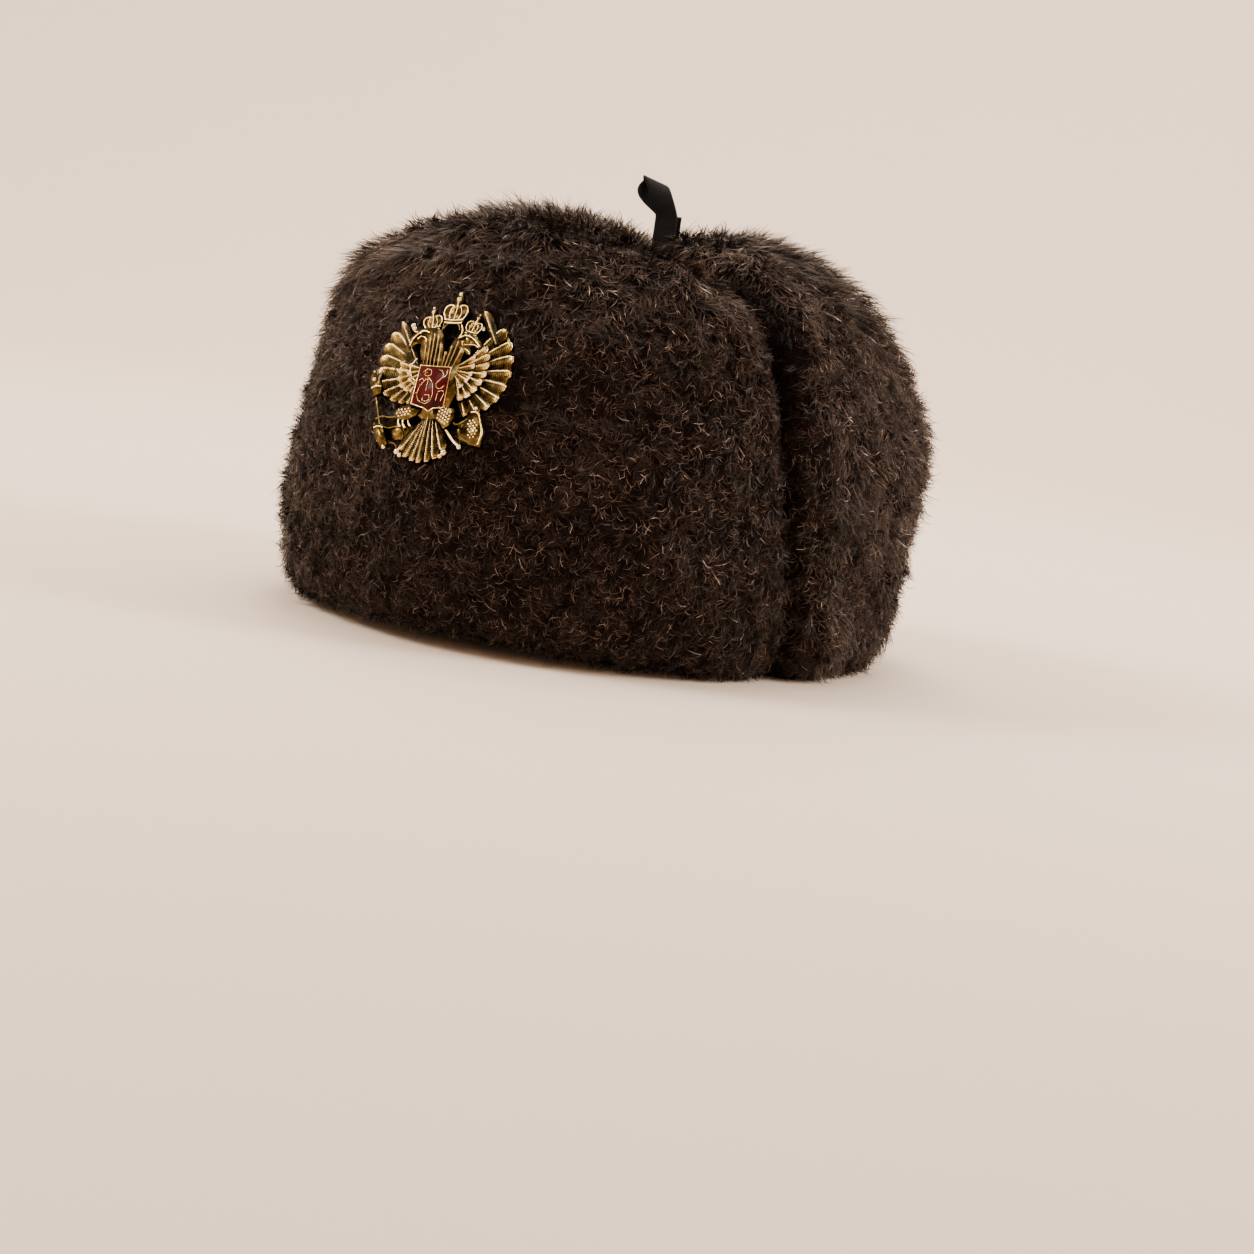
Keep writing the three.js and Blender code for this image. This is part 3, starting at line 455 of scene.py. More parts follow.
def creases(places, node):
    """Two shares: how deep a place lies in the crease beside another flap, where the pile is shortened and darkened as
    painted shade, and how near it is to the flap's top edge, where the pile is paled as a painted highlight.

    Both are strongest at the top, where the flaps' edges turn away from each other.
    """
    trees = [node_bvh(name) for name in FLAPS if name != node]
    near = np.array([min(tree.find_nearest(Vector(p))[3] for tree in trees) for p in places])
    high = ease(places[:, 2], *CREASE_TOP)
    shut = 1 - ease(near, CREASE_NEAR, CREASE_FAR + CREASE_WIDER * high)
    shut *= CREASE_LOW + (1 - CREASE_LOW) * high
    edge = high * ease(near, *EDGE_STARTS) * (1 - ease(near, *EDGE_ENDS))
    return shut, edge


# Pairs of values: where the pile is combed, and where it is wild
STRAY_TURN, STRAY_CURL = (0.6, 1.5), (0.6, 1.8)  # shares of the look's stray
HAIR_TURN, HAIR_CURL = (0.45, 1.75), (0.8, 3.2)  # radians
# The curly pile's tone and reach pairs darken it as painted shade, where it shades itself
WILD_SHADE_TONE, WILD_SHADE_REACH = (1.0, 0.75), (1.0, 0.8)
# Pairs of values: shut in a crease, and in the open. The tone and reach pairs darken the pile in a crease as painted
# shade.
CREASE_LENGTH, CREASE_SHADE_TONE, CREASE_SHADE_REACH = (0.35, 1.0), (0.12, 1.0), (0.1, 1.0)
# Leans in radians: how far single strands and whole tufts differ, and what is added or taken away
ROOT_LEAN_SPREAD, TIP_LEAN_SPREAD = (0.14, 0.2), (0.25, 0.15)
CREASE_LEAN, HAIR_LEAN, COMBED_TIP_LEAN = 0.45, 0.25, -0.3
LEAN_POWER = 0.8  # below 1, a strand bends over more near its root
LEAST_TUFTS = 10
DRIFT_SEED = 23
HAIR_CURLS = (0.3, 1.0)
LENGTH_SPREAD, LENGTH_ENDS = 0.16, (0.5, 1.5)
LENGTH_WAVES = (0.1, 9 * MM, 31)  # share, size and seed
PULLS, PULL_POWER = (0.3, 1.3), 1.5
SIDE_TILT = 0.22
WIDTHS = (0.6, 1.4)
HAIR_TONE, HAIR_TONE_RANGE, HAIR_TONE_POWER, HAIR_PATCHES = 0.3, 0.65, 1.3, 0.45
TUFT_TONE, COAT_PATCHES, COAT_TONES, PALE_TONES = 0.025, 0.13, (0.005, 0.4), (0.15, 0.45)
PALEST = 0.95
# Under the hat, where it stands on the floor, part of the pile is left out
THINNED, THINNED_BELOW, THINNED_FACING = 0.6, 4 * MM, -0.6


def between(pair, share):
    """The value at a share of the way from the first of a pair to the second."""
    return pair[0] + (pair[1] - pair[0]) * share


def tuft_numbers(roots, tufts):
    """The number of the tuft that each strand stands in."""
    tree = kdtree.KDTree(len(tufts))
    for i, place in enumerate(tufts):
        tree.insert(place, i)
    tree.balance()
    return np.array([tree.find(place)[1] for place in roots])


def swirls(rng, look, roots, tufts, tuft, wild, single):
    """How far each strand turns aside at its root, how far it bends after that, and how far its tuft leans."""
    count = len(roots)
    wild_tuft = 1 - calmness(tufts)
    tuft_turn = rng.normal(size=len(tufts)) * between((look.calm_turn, look.wild_turn), wild_tuft)
    tuft_curl = rng.normal(size=len(tufts)) * between((look.calm_curl, look.wild_curl), wild_tuft)
    tuft_lean = rng.normal(size=len(tufts))
    drift = look.drift * waves(roots, look.drift_size, DRIFT_SEED)
    turns = tuft_turn[tuft] + drift + rng.normal(size=count) * look.stray * between(STRAY_TURN, wild)
    curls = tuft_curl[tuft] + rng.normal(size=count) * look.stray * between(STRAY_CURL, wild)
    if single:
        turns = drift + rng.normal(size=count) * between(HAIR_TURN, wild)
        curls = rng.choice((-1.0, 1.0), count) * rng.uniform(*HAIR_CURLS, count) * between(HAIR_CURL, wild)
    return turns, curls, tuft_lean[tuft]


def march(roots, normals, lie, curls, leans, lengths):
    """Fine steps along strands that lean over more and turn aside as they go."""
    aside = np.cross(normals, lie)
    places = [roots]
    for i in range(FINE_STEPS):
        share = (i + 0.5) / FINE_STEPS
        lean = between(leans, share ** LEAN_POWER)
        turn = curls * share
        flat = np.cos(turn)[:, None] * lie + np.sin(turn)[:, None] * aside
        step = np.cos(lean)[:, None] * normals + np.sin(lean)[:, None] * flat
        places.append(places[-1] + step * (lengths / FINE_STEPS)[:, None])
    return np.stack(places, axis=1)


def draw_together(rows, steps, tuft, tuft_count, pull):
    """Draws each tuft's tips towards their mean, and the rest of its strands less."""
    tips = np.zeros((tuft_count, 3))
    np.add.at(tips, tuft, rows[:, -1])
    tips /= np.maximum(np.bincount(tuft, minlength=tuft_count), 1)[:, None]
    toward = tips[tuft] - rows[:, -1]
    for k, share in enumerate(steps):
        rows[:, k] += toward * (pull * share ** PULL_POWER)[:, None]


def own_tones(rng, look, roots, tuft, tuft_count, wild, single):
    """How pale each strand is in itself, from 0 to 1."""
    count = len(roots)
    patches = sum(share * waves(roots, size, seed) for share, size, seed in TONE_PATCHES)
    if single:
        return (HAIR_TONE + HAIR_TONE_RANGE * rng.random(count) ** HAIR_TONE_POWER) * (1 + HAIR_PATCHES * patches)
    # calm_sheen pales the combed pile as painted sheen
    tones = (look.tone + look.calm_sheen * (1 - wild) + look.tone_spread * rng.normal(size=count)
             + TUFT_TONE * rng.normal(size=tuft_count)[tuft] + COAT_PATCHES * patches).clip(*COAT_TONES)
    return np.where(rng.random(count) < look.pale_share, rng.uniform(*PALE_TONES, count), tones)


def grow(obj, node, count, look, seed, single, shade=None):
    """Pile over one padded body: each strand's places from root to tip, half widths, sides, tone and reach.

    The dense undercoat lies in small tufts. single makes the sparse paler hairs that curl over it, each its own way.
    """
    rng = np.random.default_rng(seed)
    steps, taper = (HAIR_STEPS, HAIR_TAPER) if single else (COAT_STEPS, COAT_TAPER)
    roots, normals = sow(obj, count, rng)
    tufts, _ = sow(obj, max(int(count * look.tuft_share), LEAST_TUFTS), rng)
    tuft = tuft_numbers(roots, tufts)
    wild = 1 - calmness(roots)
    turns, curls, tuft_lean = swirls(rng, look, roots, tufts, tuft, wild, single)
    if single:
        roots = roots + normals * HAIR_LIFT
    shut, edge = creases(roots, node)

    wave, wave_size, wave_seed = LENGTH_WAVES
    lengths = between((look.curly_length, look.combed_length), 1 - wild) * (HAIR_LENGTH if single else 1.0)
    lengths *= (1 + LENGTH_SPREAD * rng.normal(size=count)).clip(*LENGTH_ENDS)
    lengths *= (1 + wave * waves(roots, wave_size, wave_seed)) * between(CREASE_LENGTH, 1 - shut)
    root_lean, tip_lean = (look_lean + spread[0] * rng.normal(size=count) + spread[1] * tuft_lean for look_lean, spread
                           in ((look.lean_root, ROOT_LEAN_SPREAD), (look.lean_tip, TIP_LEAN_SPREAD)))
    root_lean = root_lean + CREASE_LEAN * shut + (HAIR_LEAN if single else 0.0)
    tip_lean = tip_lean + COMBED_TIP_LEAN * (1 - wild)
    lie = comb(roots, normals, turns)
    fine = march(roots - normals * ROOT_SUNK, normals, lie, curls, (root_lean, tip_lean), lengths)
    rows = np.stack([fine[:, round(share * FINE_STEPS)] for share in steps], axis=1)
    draw_together(rows, steps, tuft, len(tufts), (0.0 if single else look.clump) * rng.uniform(*PULLS, count))
    rows[:, :, 2] = np.maximum(rows[:, :, 2], FLOOR_GAP)

    ways = unit((rows[:, 2:] - rows[:, :-2]).reshape(-1, 3)).reshape(count, -1, 3)
    tilt = SIDE_TILT * rng.normal(size=(count, 1, 3))
    sides = unit((np.cross(ways, normals[:, None, :]) + tilt).reshape(-1, 3)).reshape(count, -1, 3)
    thick = look.width / 2 * (HAIR_WIDTH if single else 1.0) * rng.uniform(*WIDTHS, count)
    half_widths = thick[:, None] * np.array(taper)[None, :]

    # own tones hold the painted sheen of the combed pile; the next line darkens the curly pile as painted shade
    tones = own_tones(rng, look, roots, tuft, len(tufts), wild, single)
    # painted highlight: paler pile along the flaps' top edges
    tones = tones * between(WILD_SHADE_TONE, wild) + look.edge_highlight * edge
    # painted shade: darker pile where it is shut in a crease
    tones = (tones * between(CREASE_SHADE_TONE, 1 - shut)).clip(0, PALEST)
    # a few strands get a painted glint at the tip
    tones = np.where(rng.random(count) < look.glint_share, GLINTED, tones)
    # painted shade: a shorter reach towards the pale tip colour, in the creases and on the curly pile
    reaches = between(CREASE_SHADE_REACH, 1 - shut) * between(WILD_SHADE_REACH, wild)
    under = (roots[:, 2] < THINNED_BELOW) & (normals[:, 2] < THINNED_FACING)
    alive = rng.random(count) > THINNED * under
    if shade:
        met = np.any([shade.covered(rows[:, k]) for k in range(rows.shape[1])], axis=0)
        rows[met] = shade.pressed(rows[met])
    return [part[alive] for part in (rows, half_widths, sides, tones, reaches)]


# Sizes and colours that a user would change

def length_property(name, description, default):
    return bpy.props.FloatProperty(name=name, description=description, default=default, unit="LENGTH",
                                   precision=5)


def angle_property(name, description, default):
    return bpy.props.FloatProperty(name=name, description=description, default=default, subtype="ANGLE")


def share_property(name, description, default):
    return bpy.props.FloatProperty(name=name, description=description, default=default, subtype="FACTOR",
                                   min=0, max=1)


def number_property(name, description, default):
    return bpy.props.FloatProperty(name=name, description=description, default=default, subtype="UNSIGNED")


def whole_property(name, description, default):
    return bpy.props.IntProperty(name=name, description=description, default=default, subtype="UNSIGNED")


def colour_property(name, description, code):
    return bpy.props.FloatVectorProperty(name=name, description=description, default=linear(code), size=4,
                                         subtype="COLOR", min=0, max=1)


class PileLook(bpy.types.PropertyGroup):
    """The pile's sizes and colours."""
    combed_length: length_property("Combed length", "Length of a combed strand", 10.4 * MM)
    curly_length: length_property("Curly length", "Length of a curly strand", 7.0 * MM)
    width: length_property("Width", "Width of a strand where it is widest", 0.32 * MM)
    density: number_property("Density", "Strands in a square millimetre", 1.0)
    hair_density: number_property("Hairs", "Single pale hairs in a square millimetre", 0.17)
    lean_root: angle_property("Root lean", "Off upright at the root", math.radians(52))
    lean_tip: angle_property("Tip lean", "Off upright at the tip", math.radians(100))
    calm_turn: angle_property("Combed turn", "How far combed tufts turn aside", 0.24)
    wild_turn: angle_property("Curly turn", "How far curly tufts turn aside", 1.5)
    calm_curl: angle_property("Combed curl", "Bend of combed strands", 0.35)
    wild_curl: angle_property("Curly curl", "Bend of curly strands", 2.1)
    drift: angle_property("Drift", "How far the pile turns over a flap", 0.7)
    drift_size: length_property("Drift size", "Distance over which the drift changes", 45 * MM)
    stray: angle_property("Stray", "How far single strands stray", 0.34)
    clump: share_property("Clump", "How far strands close up into tufts", 0.1)
    tuft_share: share_property("Tufts", "Tufts for each strand", 1 / 13)
    tone: share_property("Tone", "Mean paleness of a strand, from 0 to 1", 0.035)
    # painted sheen on the combed pile
    calm_sheen: share_property("Combed tone", "Paleness added where the pile is combed", 0.07)
    # painted highlight along a flap's top edge
    edge_highlight: share_property("Edge tone", "Paleness added along a flap's top edge", 0.12)
    tone_spread: share_property("Tone spread", "How far strands differ in paleness", 0.03)
    pale_share: share_property("Pale strands", "Share of much paler strands", 0.1)
    # share of strands with a painted glint at the tip
    glint_share: share_property("Specks", "Share of strands with a bright tip", 0.013)
    # Root and Low: partly dye, partly painted shade deep in the pile and on the backing
    root: colour_property("Root", "Colour at the root", "#060302")
    low: colour_property("Low", "Colour of dark strands low down", "#110806")
    middle: colour_property("Middle", "Colour of pale strands low down", "#33201a")
    dark_tip: colour_property("Dark tip", "Tip of the darkest strands", "#1a0f0a")
    pale_tip: colour_property("Pale tip", "Tip of the palest strands", "#c6b0a1")
    # Speck: a painted glint, a highlight set into a strand's tip, not a melted tip
    glint: colour_property("Speck", "A melted tip that catches the light", "#f2e6da")


class BadgeLook(bpy.types.PropertyGroup):
    """The badge's colours."""
    recess: colour_property("Recess", "Darkened brass in the recesses", "#0d0803")
    # Web: wiped brass, darkened further as a painted reflection of the dark surroundings
    web: colour_property("Web", "Wiped brass on the feathers' webs", "#5a4b24")
    gilt: colour_property("Gilt", "Gilding on raised faces", "#d9b768")
    # Rib: worn gilding, paled towards white as a painted highlight
    rib: colour_property("Rib", "Worn gilding on the highest ribs", "#fff0c2")
    enamel: colour_property("Enamel", "Enamel where it is thin", "#52040d")
    enamel_deep: colour_property("Deep enamel", "Enamel where it is thick", "#200206")


class RibbonLook(bpy.types.PropertyGroup):
    """The ribbon's sizes and colours."""
    width: length_property("Width", "Width of the ribbon", 10 * MM)
    thickness: length_property("Thickness", "Thickness of the ribbon", 0.6 * MM)
    cloth: colour_property("Cloth", "Colour of the ribbon", "#05070c")
    sheen: colour_property("Rubbed", "Colour where it is rubbed", "#0d1018")


class CrownLook(bpy.types.PropertyGroup):
    """The crown's sizes and colours."""
    seams: whole_property("Seams", "Seams from the rim to the top", 4)
    seam_depth: length_property("Seam depth", "How far a seam draws in", 1.2 * MM)
    dark: colour_property("Dark", "Darkest cloth", "#140d0a")
    light: colour_property("Light", "Palest cloth", "#261a14")


class StageLook(bpy.types.PropertyGroup):
    """Camera, light and floor."""
    azimuth: angle_property("Azimuth", "Round from the front", math.radians(30))
    elevation: angle_property("Elevation", "Above the horizon", math.radians(4))
    roll: angle_property("Roll", "Turn in its own plane", math.radians(8.5))
    distance: length_property("Distance", "From the hat's middle", 1.15)
    lens: number_property("Lens", "Focal length in millimetres", 85)
    floor: colour_property("Floor", "Colour of the paper sweep", "#f3e6d9")


BADGE_LEAN = 26.0
BADGE_TURN = 1.0
BADGE_TILT = 11.0
BADGE_PLACE = Vector((2.01, -126.20, 90.51)) * MM
BADGE_BEHIND = 0.4 * MM  # between the badge's back and the pile pressed flat behind it
BADGE_HALF = (28 * MM, 34 * MM)
BADGE_UP = 5 * MM  # from the badge's own origin to its middle
BADGE_EDGE = (0.8, 1.15)  # shares of its half sizes between which the padding eases back
PRESSED_PILE = 2.0 * MM  # room for that pile over the padding
MOST_LIFT = 5 * MM
FACING_OUT = 0.3
LIFT_ENDS = (9 * MM, 14 * MM)  # behind the badge, where the flap already turns away


def badge_matrix():
    """The badge's own frame: x to a viewer's right, y up it, z out of the hat."""
    turns = (Matrix.Rotation(math.radians(BADGE_TURN), 4, "Z")
             @ Matrix.Rotation(math.radians(90 - BADGE_LEAN), 4, "X")
             @ Matrix.Rotation(math.radians(BADGE_TILT), 4, "Z"))
    return Matrix.Translation(BADGE_PLACE) @ turns


PAD_VOXEL = 3.4 * MM
PAD_ROUNDS = 6
FUR_SEEDS = {"front_flap": 101, "neck_flap": 202, "ear_flap_left": 303, "ear_flap_right": 404}
PIECE_STRANDS = 48000


class USHANKA_OT_flaps(bpy.types.Operator):
    """Makes the padded body of each flap and grows its pile"""
    bl_idname = "ushanka.flaps"
    bl_label = "Flaps and pile"

    def execute(self, context):
        look = context.scene.ushanka_pile
        strand = pile_strand_material(look)
        backing = pile_backing_material(look)
        shade = BadgeShade()
        for node in FLAPS:
            pad = self.pad(node, backing)
            corners, areas, _ = mesh_arrays(pad)
            area = (areas * furred(corners.mean(axis=1))).sum()
            if not area:
                raise RuntimeError(node + " has no face for its pile")
            under = shade if node == "front_flap" else None
            for kind, density in (("pile", look.density), ("hair", look.hair_density)):
                single = kind == "hair"
                grown = grow(pad, node, int(area / MM ** 2 * density), look, FUR_SEEDS[node] + single, single, under)
                self.piece(f"{node}_{kind}", grown, strand)
        return {"FINISHED"}

    def pad(self, node, material):
        pad = object_of(welded(node), node + "_pad", material)
        remesh = pad.modifiers.new("even", "REMESH")
        remesh.mode = "VOXEL"
        remesh.voxel_size = PAD_VOXEL
        apply_modifiers(pad)
        form = bmesh.new()
        form.from_mesh(pad.data)
        for _ in range(PAD_ROUNDS):
            bmesh.ops.smooth_vert(form, verts=form.verts, factor=0.5, use_axis_x=True, use_axis_y=True,
                                  use_axis_z=True)
        form.to_mesh(pad.data)
        form.free()
        if node == "front_flap":
            self.fill_behind_badge(pad.data)
        pad.data.materials.clear()
        pad.data.materials.append(material)
        pad.data.shade_smooth()
        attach(pad, "root")
        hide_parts(node)
        return pad

    def fill_behind_badge(self, mesh):
        """Brings the padding out again behind the badge, where smoothing drew it in, to meet the badge."""
        axes = np.array(badge_matrix().to_3x3())
        at = np.array([v.co[:] for v in mesh.vertices])
        outer = np.array([v.normal[:] for v in mesh.vertices]) @ axes[:, 2] > FACING_OUT
        local = (at - np.array(BADGE_PLACE)) @ axes
        far = np.hypot(local[:, 0] / BADGE_HALF[0], (local[:, 1] - BADGE_UP) / BADGE_HALF[1])
        lift = (-PRESSED_PILE - local[:, 2]).clip(0, MOST_LIFT) * (1 - ease(far, *BADGE_EDGE))
        lift *= outer * (1 - ease(-local[:, 2], *LIFT_ENDS))
        mesh.vertices.foreach_set("co", (at + lift[:, None] * axes[:, 2]).ravel())
        mesh.update()

    def piece(self, kind, grown, material):
        order = np.argsort(grown[0][:, 0, 0], kind="stable")
        pieces = max(1, math.ceil(len(order) / PIECE_STRANDS))
        for i, part in enumerate(np.array_split(order, pieces)):
            name = f"{kind}_{i + 1}"
            mesh = strands_mesh(name, *(values[part] for values in grown))
            fur = new_object(name, mesh, material)
            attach(fur, "root")


# The badge in millimetres, in its own frame: x to a viewer's right, y up it, z out of the hat. A feather's row
# is its root, its tip, its width, its base's height, how far it rises above that, and where its rib runs: 0 along
# its middle, 1 along the edge on its left as one looks from root to tip, -1 along the other.
FEATHERS = [
    # left wing, long feathers from the top down
    ((-9.4, 8.4), (-19.2, 25.4), 3.4, 1.6, 1.8, 0.0), ((-9.8, 7.6), (-22.8, 21.8), 6.0, 1.0, 0.9, -0.62),
    ((-10.2, 6.8), (-24.8, 17.2), 6.0, 0.8, 0.9, -0.62), ((-10.2, 5.8), (-25.7, 12.2), 6.0, 0.6, 0.9, -0.62),
    ((-10.0, 4.8), (-25.7, 7.0), 5.6, 0.5, 0.9, -0.6), ((-9.8, 4.0), (-23.8, 1.8), 4.6, 0.8, 1.1, -0.3),
    ((-9.4, 3.2), (-21.2, -2.2), 4.2, 1.0, 1.1, -0.2), ((-9.0, 2.6), (-17.8, -4.8), 4.0, 1.1, 1.1, 0.0),
    ((-8.4, 2.2), (-14.0, -6.2), 3.8, 1.2, 1.1, 0.0), ((-7.6, 2.0), (-10.6, -6.6), 3.6, 1.3, 1.1, 0.0),
    # left wing, short feathers over their roots
    ((-8.6, 6.6), (-16.8, 9.6), 2.9, 1.7, 1.3, 0.0), ((-8.6, 5.8), (-17.2, 6.4), 3.0, 1.8, 1.3, 0.0),
    ((-8.4, 5.0), (-16.6, 2.9), 3.1, 1.9, 1.3, 0.0), ((-8.2, 4.2), (-15.0, 0.0), 3.1, 2.0, 1.3, 0.0),
    ((-7.8, 3.6), (-12.6, -1.8), 3.0, 2.1, 1.3, 0.0), ((-7.2, 3.2), (-9.9, -2.8), 2.8, 2.2, 1.3, 0.0),
    ((-7.0, 6.4), (-12.4, 8.0), 2.6, 2.5, 1.2, 0.0), ((-7.0, 5.6), (-12.6, 4.8), 2.7, 2.6, 1.2, 0.0),
    ((-6.8, 4.8), (-11.4, 2.0), 2.7, 2.7, 1.2, 0.0), ((-6.6, 4.2), (-9.3, 0.2), 2.6, 2.8, 1.2, 0.0),
    # right wing, long feathers from the top down
    ((19.8, 15.6), (12.8, 28.6), 4.0, 1.7, 2.0, 0.0), ((9.8, 8.8), (22.2, 21.8), 5.4, 1.3, 1.1, 0.6),
    ((10.2, 7.6), (25.7, 16.2), 5.2, 1.1, 1.1, 0.6), ((10.4, 6.4), (27.4, 10.6), 5.0, 0.9, 1.1, 0.6),
    ((10.4, 5.0), (27.7, 4.6), 4.8, 0.8, 1.1, 0.5), ((10.2, 3.6), (26.7, -0.9), 4.6, 0.9, 1.1, 0.4),
    ((9.8, 2.6), (24.6, -5.6), 4.4, 1.0, 1.1, 0.3), ((9.4, 1.8), (21.4, -9.0), 4.3, 1.1, 1.1, 0.2),
    ((8.8, 1.2), (17.7, -11.3), 4.2, 1.2, 1.1, 0.0), ((7.8, 0.8), (13.2, -11.9), 4.0, 1.3, 1.1, 0.0),
    # right wing, short feathers over their roots
    ((9.4, 8.0), (16.8, 14.8), 3.0, 1.9, 1.3, 0.3), ((9.4, 7.0), (18.4, 11.5), 3.1, 2.0, 1.3, 0.3),
    ((9.4, 6.0), (19.0, 7.8), 3.1, 2.1, 1.3, 0.2), ((9.2, 5.0), (18.8, 3.9), 3.1, 2.2, 1.3, 0.0),
    ((9.0, 4.0), (17.8, 0.4), 3.1, 2.3, 1.3, 0.0), ((8.6, 3.2), (16.0, -2.9), 3.1, 2.4, 1.3, 0.0),
    ((8.0, 2.6), (13.5, -5.3), 3.0, 2.5, 1.3, 0.0), ((7.4, 2.2), (10.8, -6.6), 2.9, 2.6, 1.3, 0.0),
    ((7.6, 7.4), (13.0, 10.8), 2.6, 2.7, 1.2, 0.0), ((7.6, 6.2), (13.8, 7.4), 2.7, 2.8, 1.2, 0.0),
    ((7.6, 5.0), (13.6, 3.8), 2.7, 2.9, 1.2, 0.0), ((7.4, 4.0), (12.5, 1.0), 2.7, 3.0, 1.2, 0.0),
    ((7.0, 3.2), (10.4, -1.6), 2.6, 3.1, 1.2, 0.0),
    # feathers down the necks
    ((-6.8, 6.6), (-7.6, 16.2), 1.8, 2.2, 1.2, 0.0), ((-5.2, 6.6), (-6.0, 18.6), 1.9, 2.6, 1.4, 0.0),
    ((-3.8, 6.8), (-4.4, 19.8), 1.9, 2.9, 1.5, 0.0), ((-2.4, 6.8), (-2.8, 19.4), 1.9, 2.8, 1.5, 0.0),
    ((-1.0, 6.8), (-1.5, 16.4), 1.8, 2.5, 1.3, 0.0), ((0.5, 6.6), (0.9, 13.2), 1.8, 2.3, 1.3, 0.0),
    ((1.9, 6.4), (3.2, 15.2), 1.9, 2.6, 1.4, 0.0), ((3.3, 6.2), (5.4, 16.6), 1.9, 2.7, 1.4, 0.0),
    ((4.7, 6.0), (7.2, 14.6), 1.8, 2.4, 1.3, 0.0),
    # tail
    ((-2.2, -11.0), (-10.2, -24.4), 4.0, 1.0, 1.2, 0.3), ((1.6, -11.4), (7.2, -24.9), 4.0, 1.0, 1.2, -0.3),
    ((-1.8, -11.4), (-7.4, -27.4), 3.8, 1.4, 1.2, 0.3), ((1.0, -11.6), (4.8, -28.4), 3.8, 1.4, 1.2, -0.3),
    ((-1.4, -11.8), (-4.0, -29.2), 3.7, 1.8, 1.3, 0.2), ((0.4, -11.8), (2.0, -29.7), 3.7, 1.8, 1.3, -0.2),
    ((-0.5, -11.6), (-0.9, -30.3), 3.2, 2.2, 1.6, 0.0),
]
# Flat raised shapes: outline, height of the back, height of the face, and how far its rim is rounded
PLATES = {
    "left neck and head": ([(-8.2, 6.0), (-8.4, 10.4), (-9.4, 14.0), (-9.6, 16.4), (-11.6, 16.6), (-13.0, 15.0),
                            (-14.6, 15.2), (-14.6, 17.6), (-13.4, 20.0), (-11.2, 22.0), (-8.4, 22.8), (-5.0, 22.6),
                            (-2.4, 21.4), (-1.0, 18.6), (-0.2, 14.0), (0.4, 6.0)], 0.4, 2.9, 1.1),
    "right neck and head": ([(-0.4, 6.0), (0.6, 11.0), (2.2, 15.4), (3.8, 18.6), (6.4, 20.4), (9.4, 20.2),
                             (11.8, 18.6), (13.8, 16.6), (14.8, 14.6), (13.4, 13.8), (11.4, 15.2), (9.8, 14.9),
                             (10.4, 13.4), (11.0, 11.4), (9.4, 11.8), (8.2, 13.2), (7.4, 10.0), (7.4, 6.0)],
                            0.4, 2.8, 1.0),
    "body": ([(-8.4, 8.0), (-4.0, 9.6), (1.0, 9.4), (5.6, 8.6), (9.4, 6.0), (9.0, -2.0), (6.6, -9.0), (2.0, -13.4),
              (-2.8, -13.2), (-8.6, -8.6), (-9.8, -1.0)], 0.0, 2.9, 1.2),
    "left leg": ([(-8.2, -7.6), (-4.0, -9.6), (-5.4, -12.0), (-9.2, -13.6), (-13.4, -12.6), (-13.6, -9.8),
                  (-11.4, -8.2)], 0.3, 3.2, 0.9),
    "right leg": ([(0.8, -9.8), (5.4, -8.6), (9.2, -9.8), (9.8, -12.6), (8.6, -15.6), (6.6, -17.2), (4.6, -14.8),
                   (2.0, -12.8)], 0.3, 3.2, 0.9),
    "bell": ([(15.2, -11.0), (16.6, -9.4), (18.4, -10.6), (20.6, -14.2), (22.2, -18.0), (21.8, -24.0), (17.4, -23.0),
              (13.0, -20.8), (13.4, -16.0)], 0.3, 2.4, 0.5),
    "left wing's web": ([(-8.0, 8.6), (-17.6, 24.0), (-19.6, 24.4), (-22.6, 21.4), (-24.4, 17.0), (-25.2, 12.0),
                         (-25.0, 6.6), (-22.6, 1.6), (-20.0, -1.8), (-16.8, -4.0), (-13.4, -5.2), (-10.4, -5.6),
                         (-6.4, 0.0)], 0.0, 0.5, 0.3),
    "right wing's web": ([(7.6, 9.6), (14.4, 17.2), (19.6, 18.2), (22.4, 20.6), (25.0, 16.0), (26.4, 10.6),
                          (26.8, 4.4), (25.4, -1.4), (23.2, -5.6), (20.2, -8.4), (16.8, -10.2), (13.0, -11.0),
                          (6.6, -6.0)], 0.0, 0.8, 0.3),
    "web beside the bell": ([(8.6, -12.0), (14.0, -11.0), (14.0, -20.0), (13.0, -22.0)], 0.0, 1.0, 0.2),
    "web beside the tail": ([(-13.0, -12.0), (-4.0, -12.0), (-8.0, -20.0), (-18.0, -20.0), (-20.0, -14.0)],
                            0.0, 0.8, 0.2),
    "sceptre's foot": ([(-22.0, -14.0), (-18.6, -14.8), (-16.8, -18.4), (-14.8, -22.4), (-17.2, -23.8),
                        (-19.4, -20.4), (-21.4, -17.6)], 0.3, 2.3, 0.5),
    "sceptre's head": ([(-26.8, 6.0), (-24.9, 4.6), (-23.2, 5.6), (-23.2, 2.6), (-22.0, 0.4), (-21.8, -2.4),
                        (-24.6, -3.6), (-25.8, -0.6), (-27.2, 1.8)], 0.3, 2.3, 0.5),
}
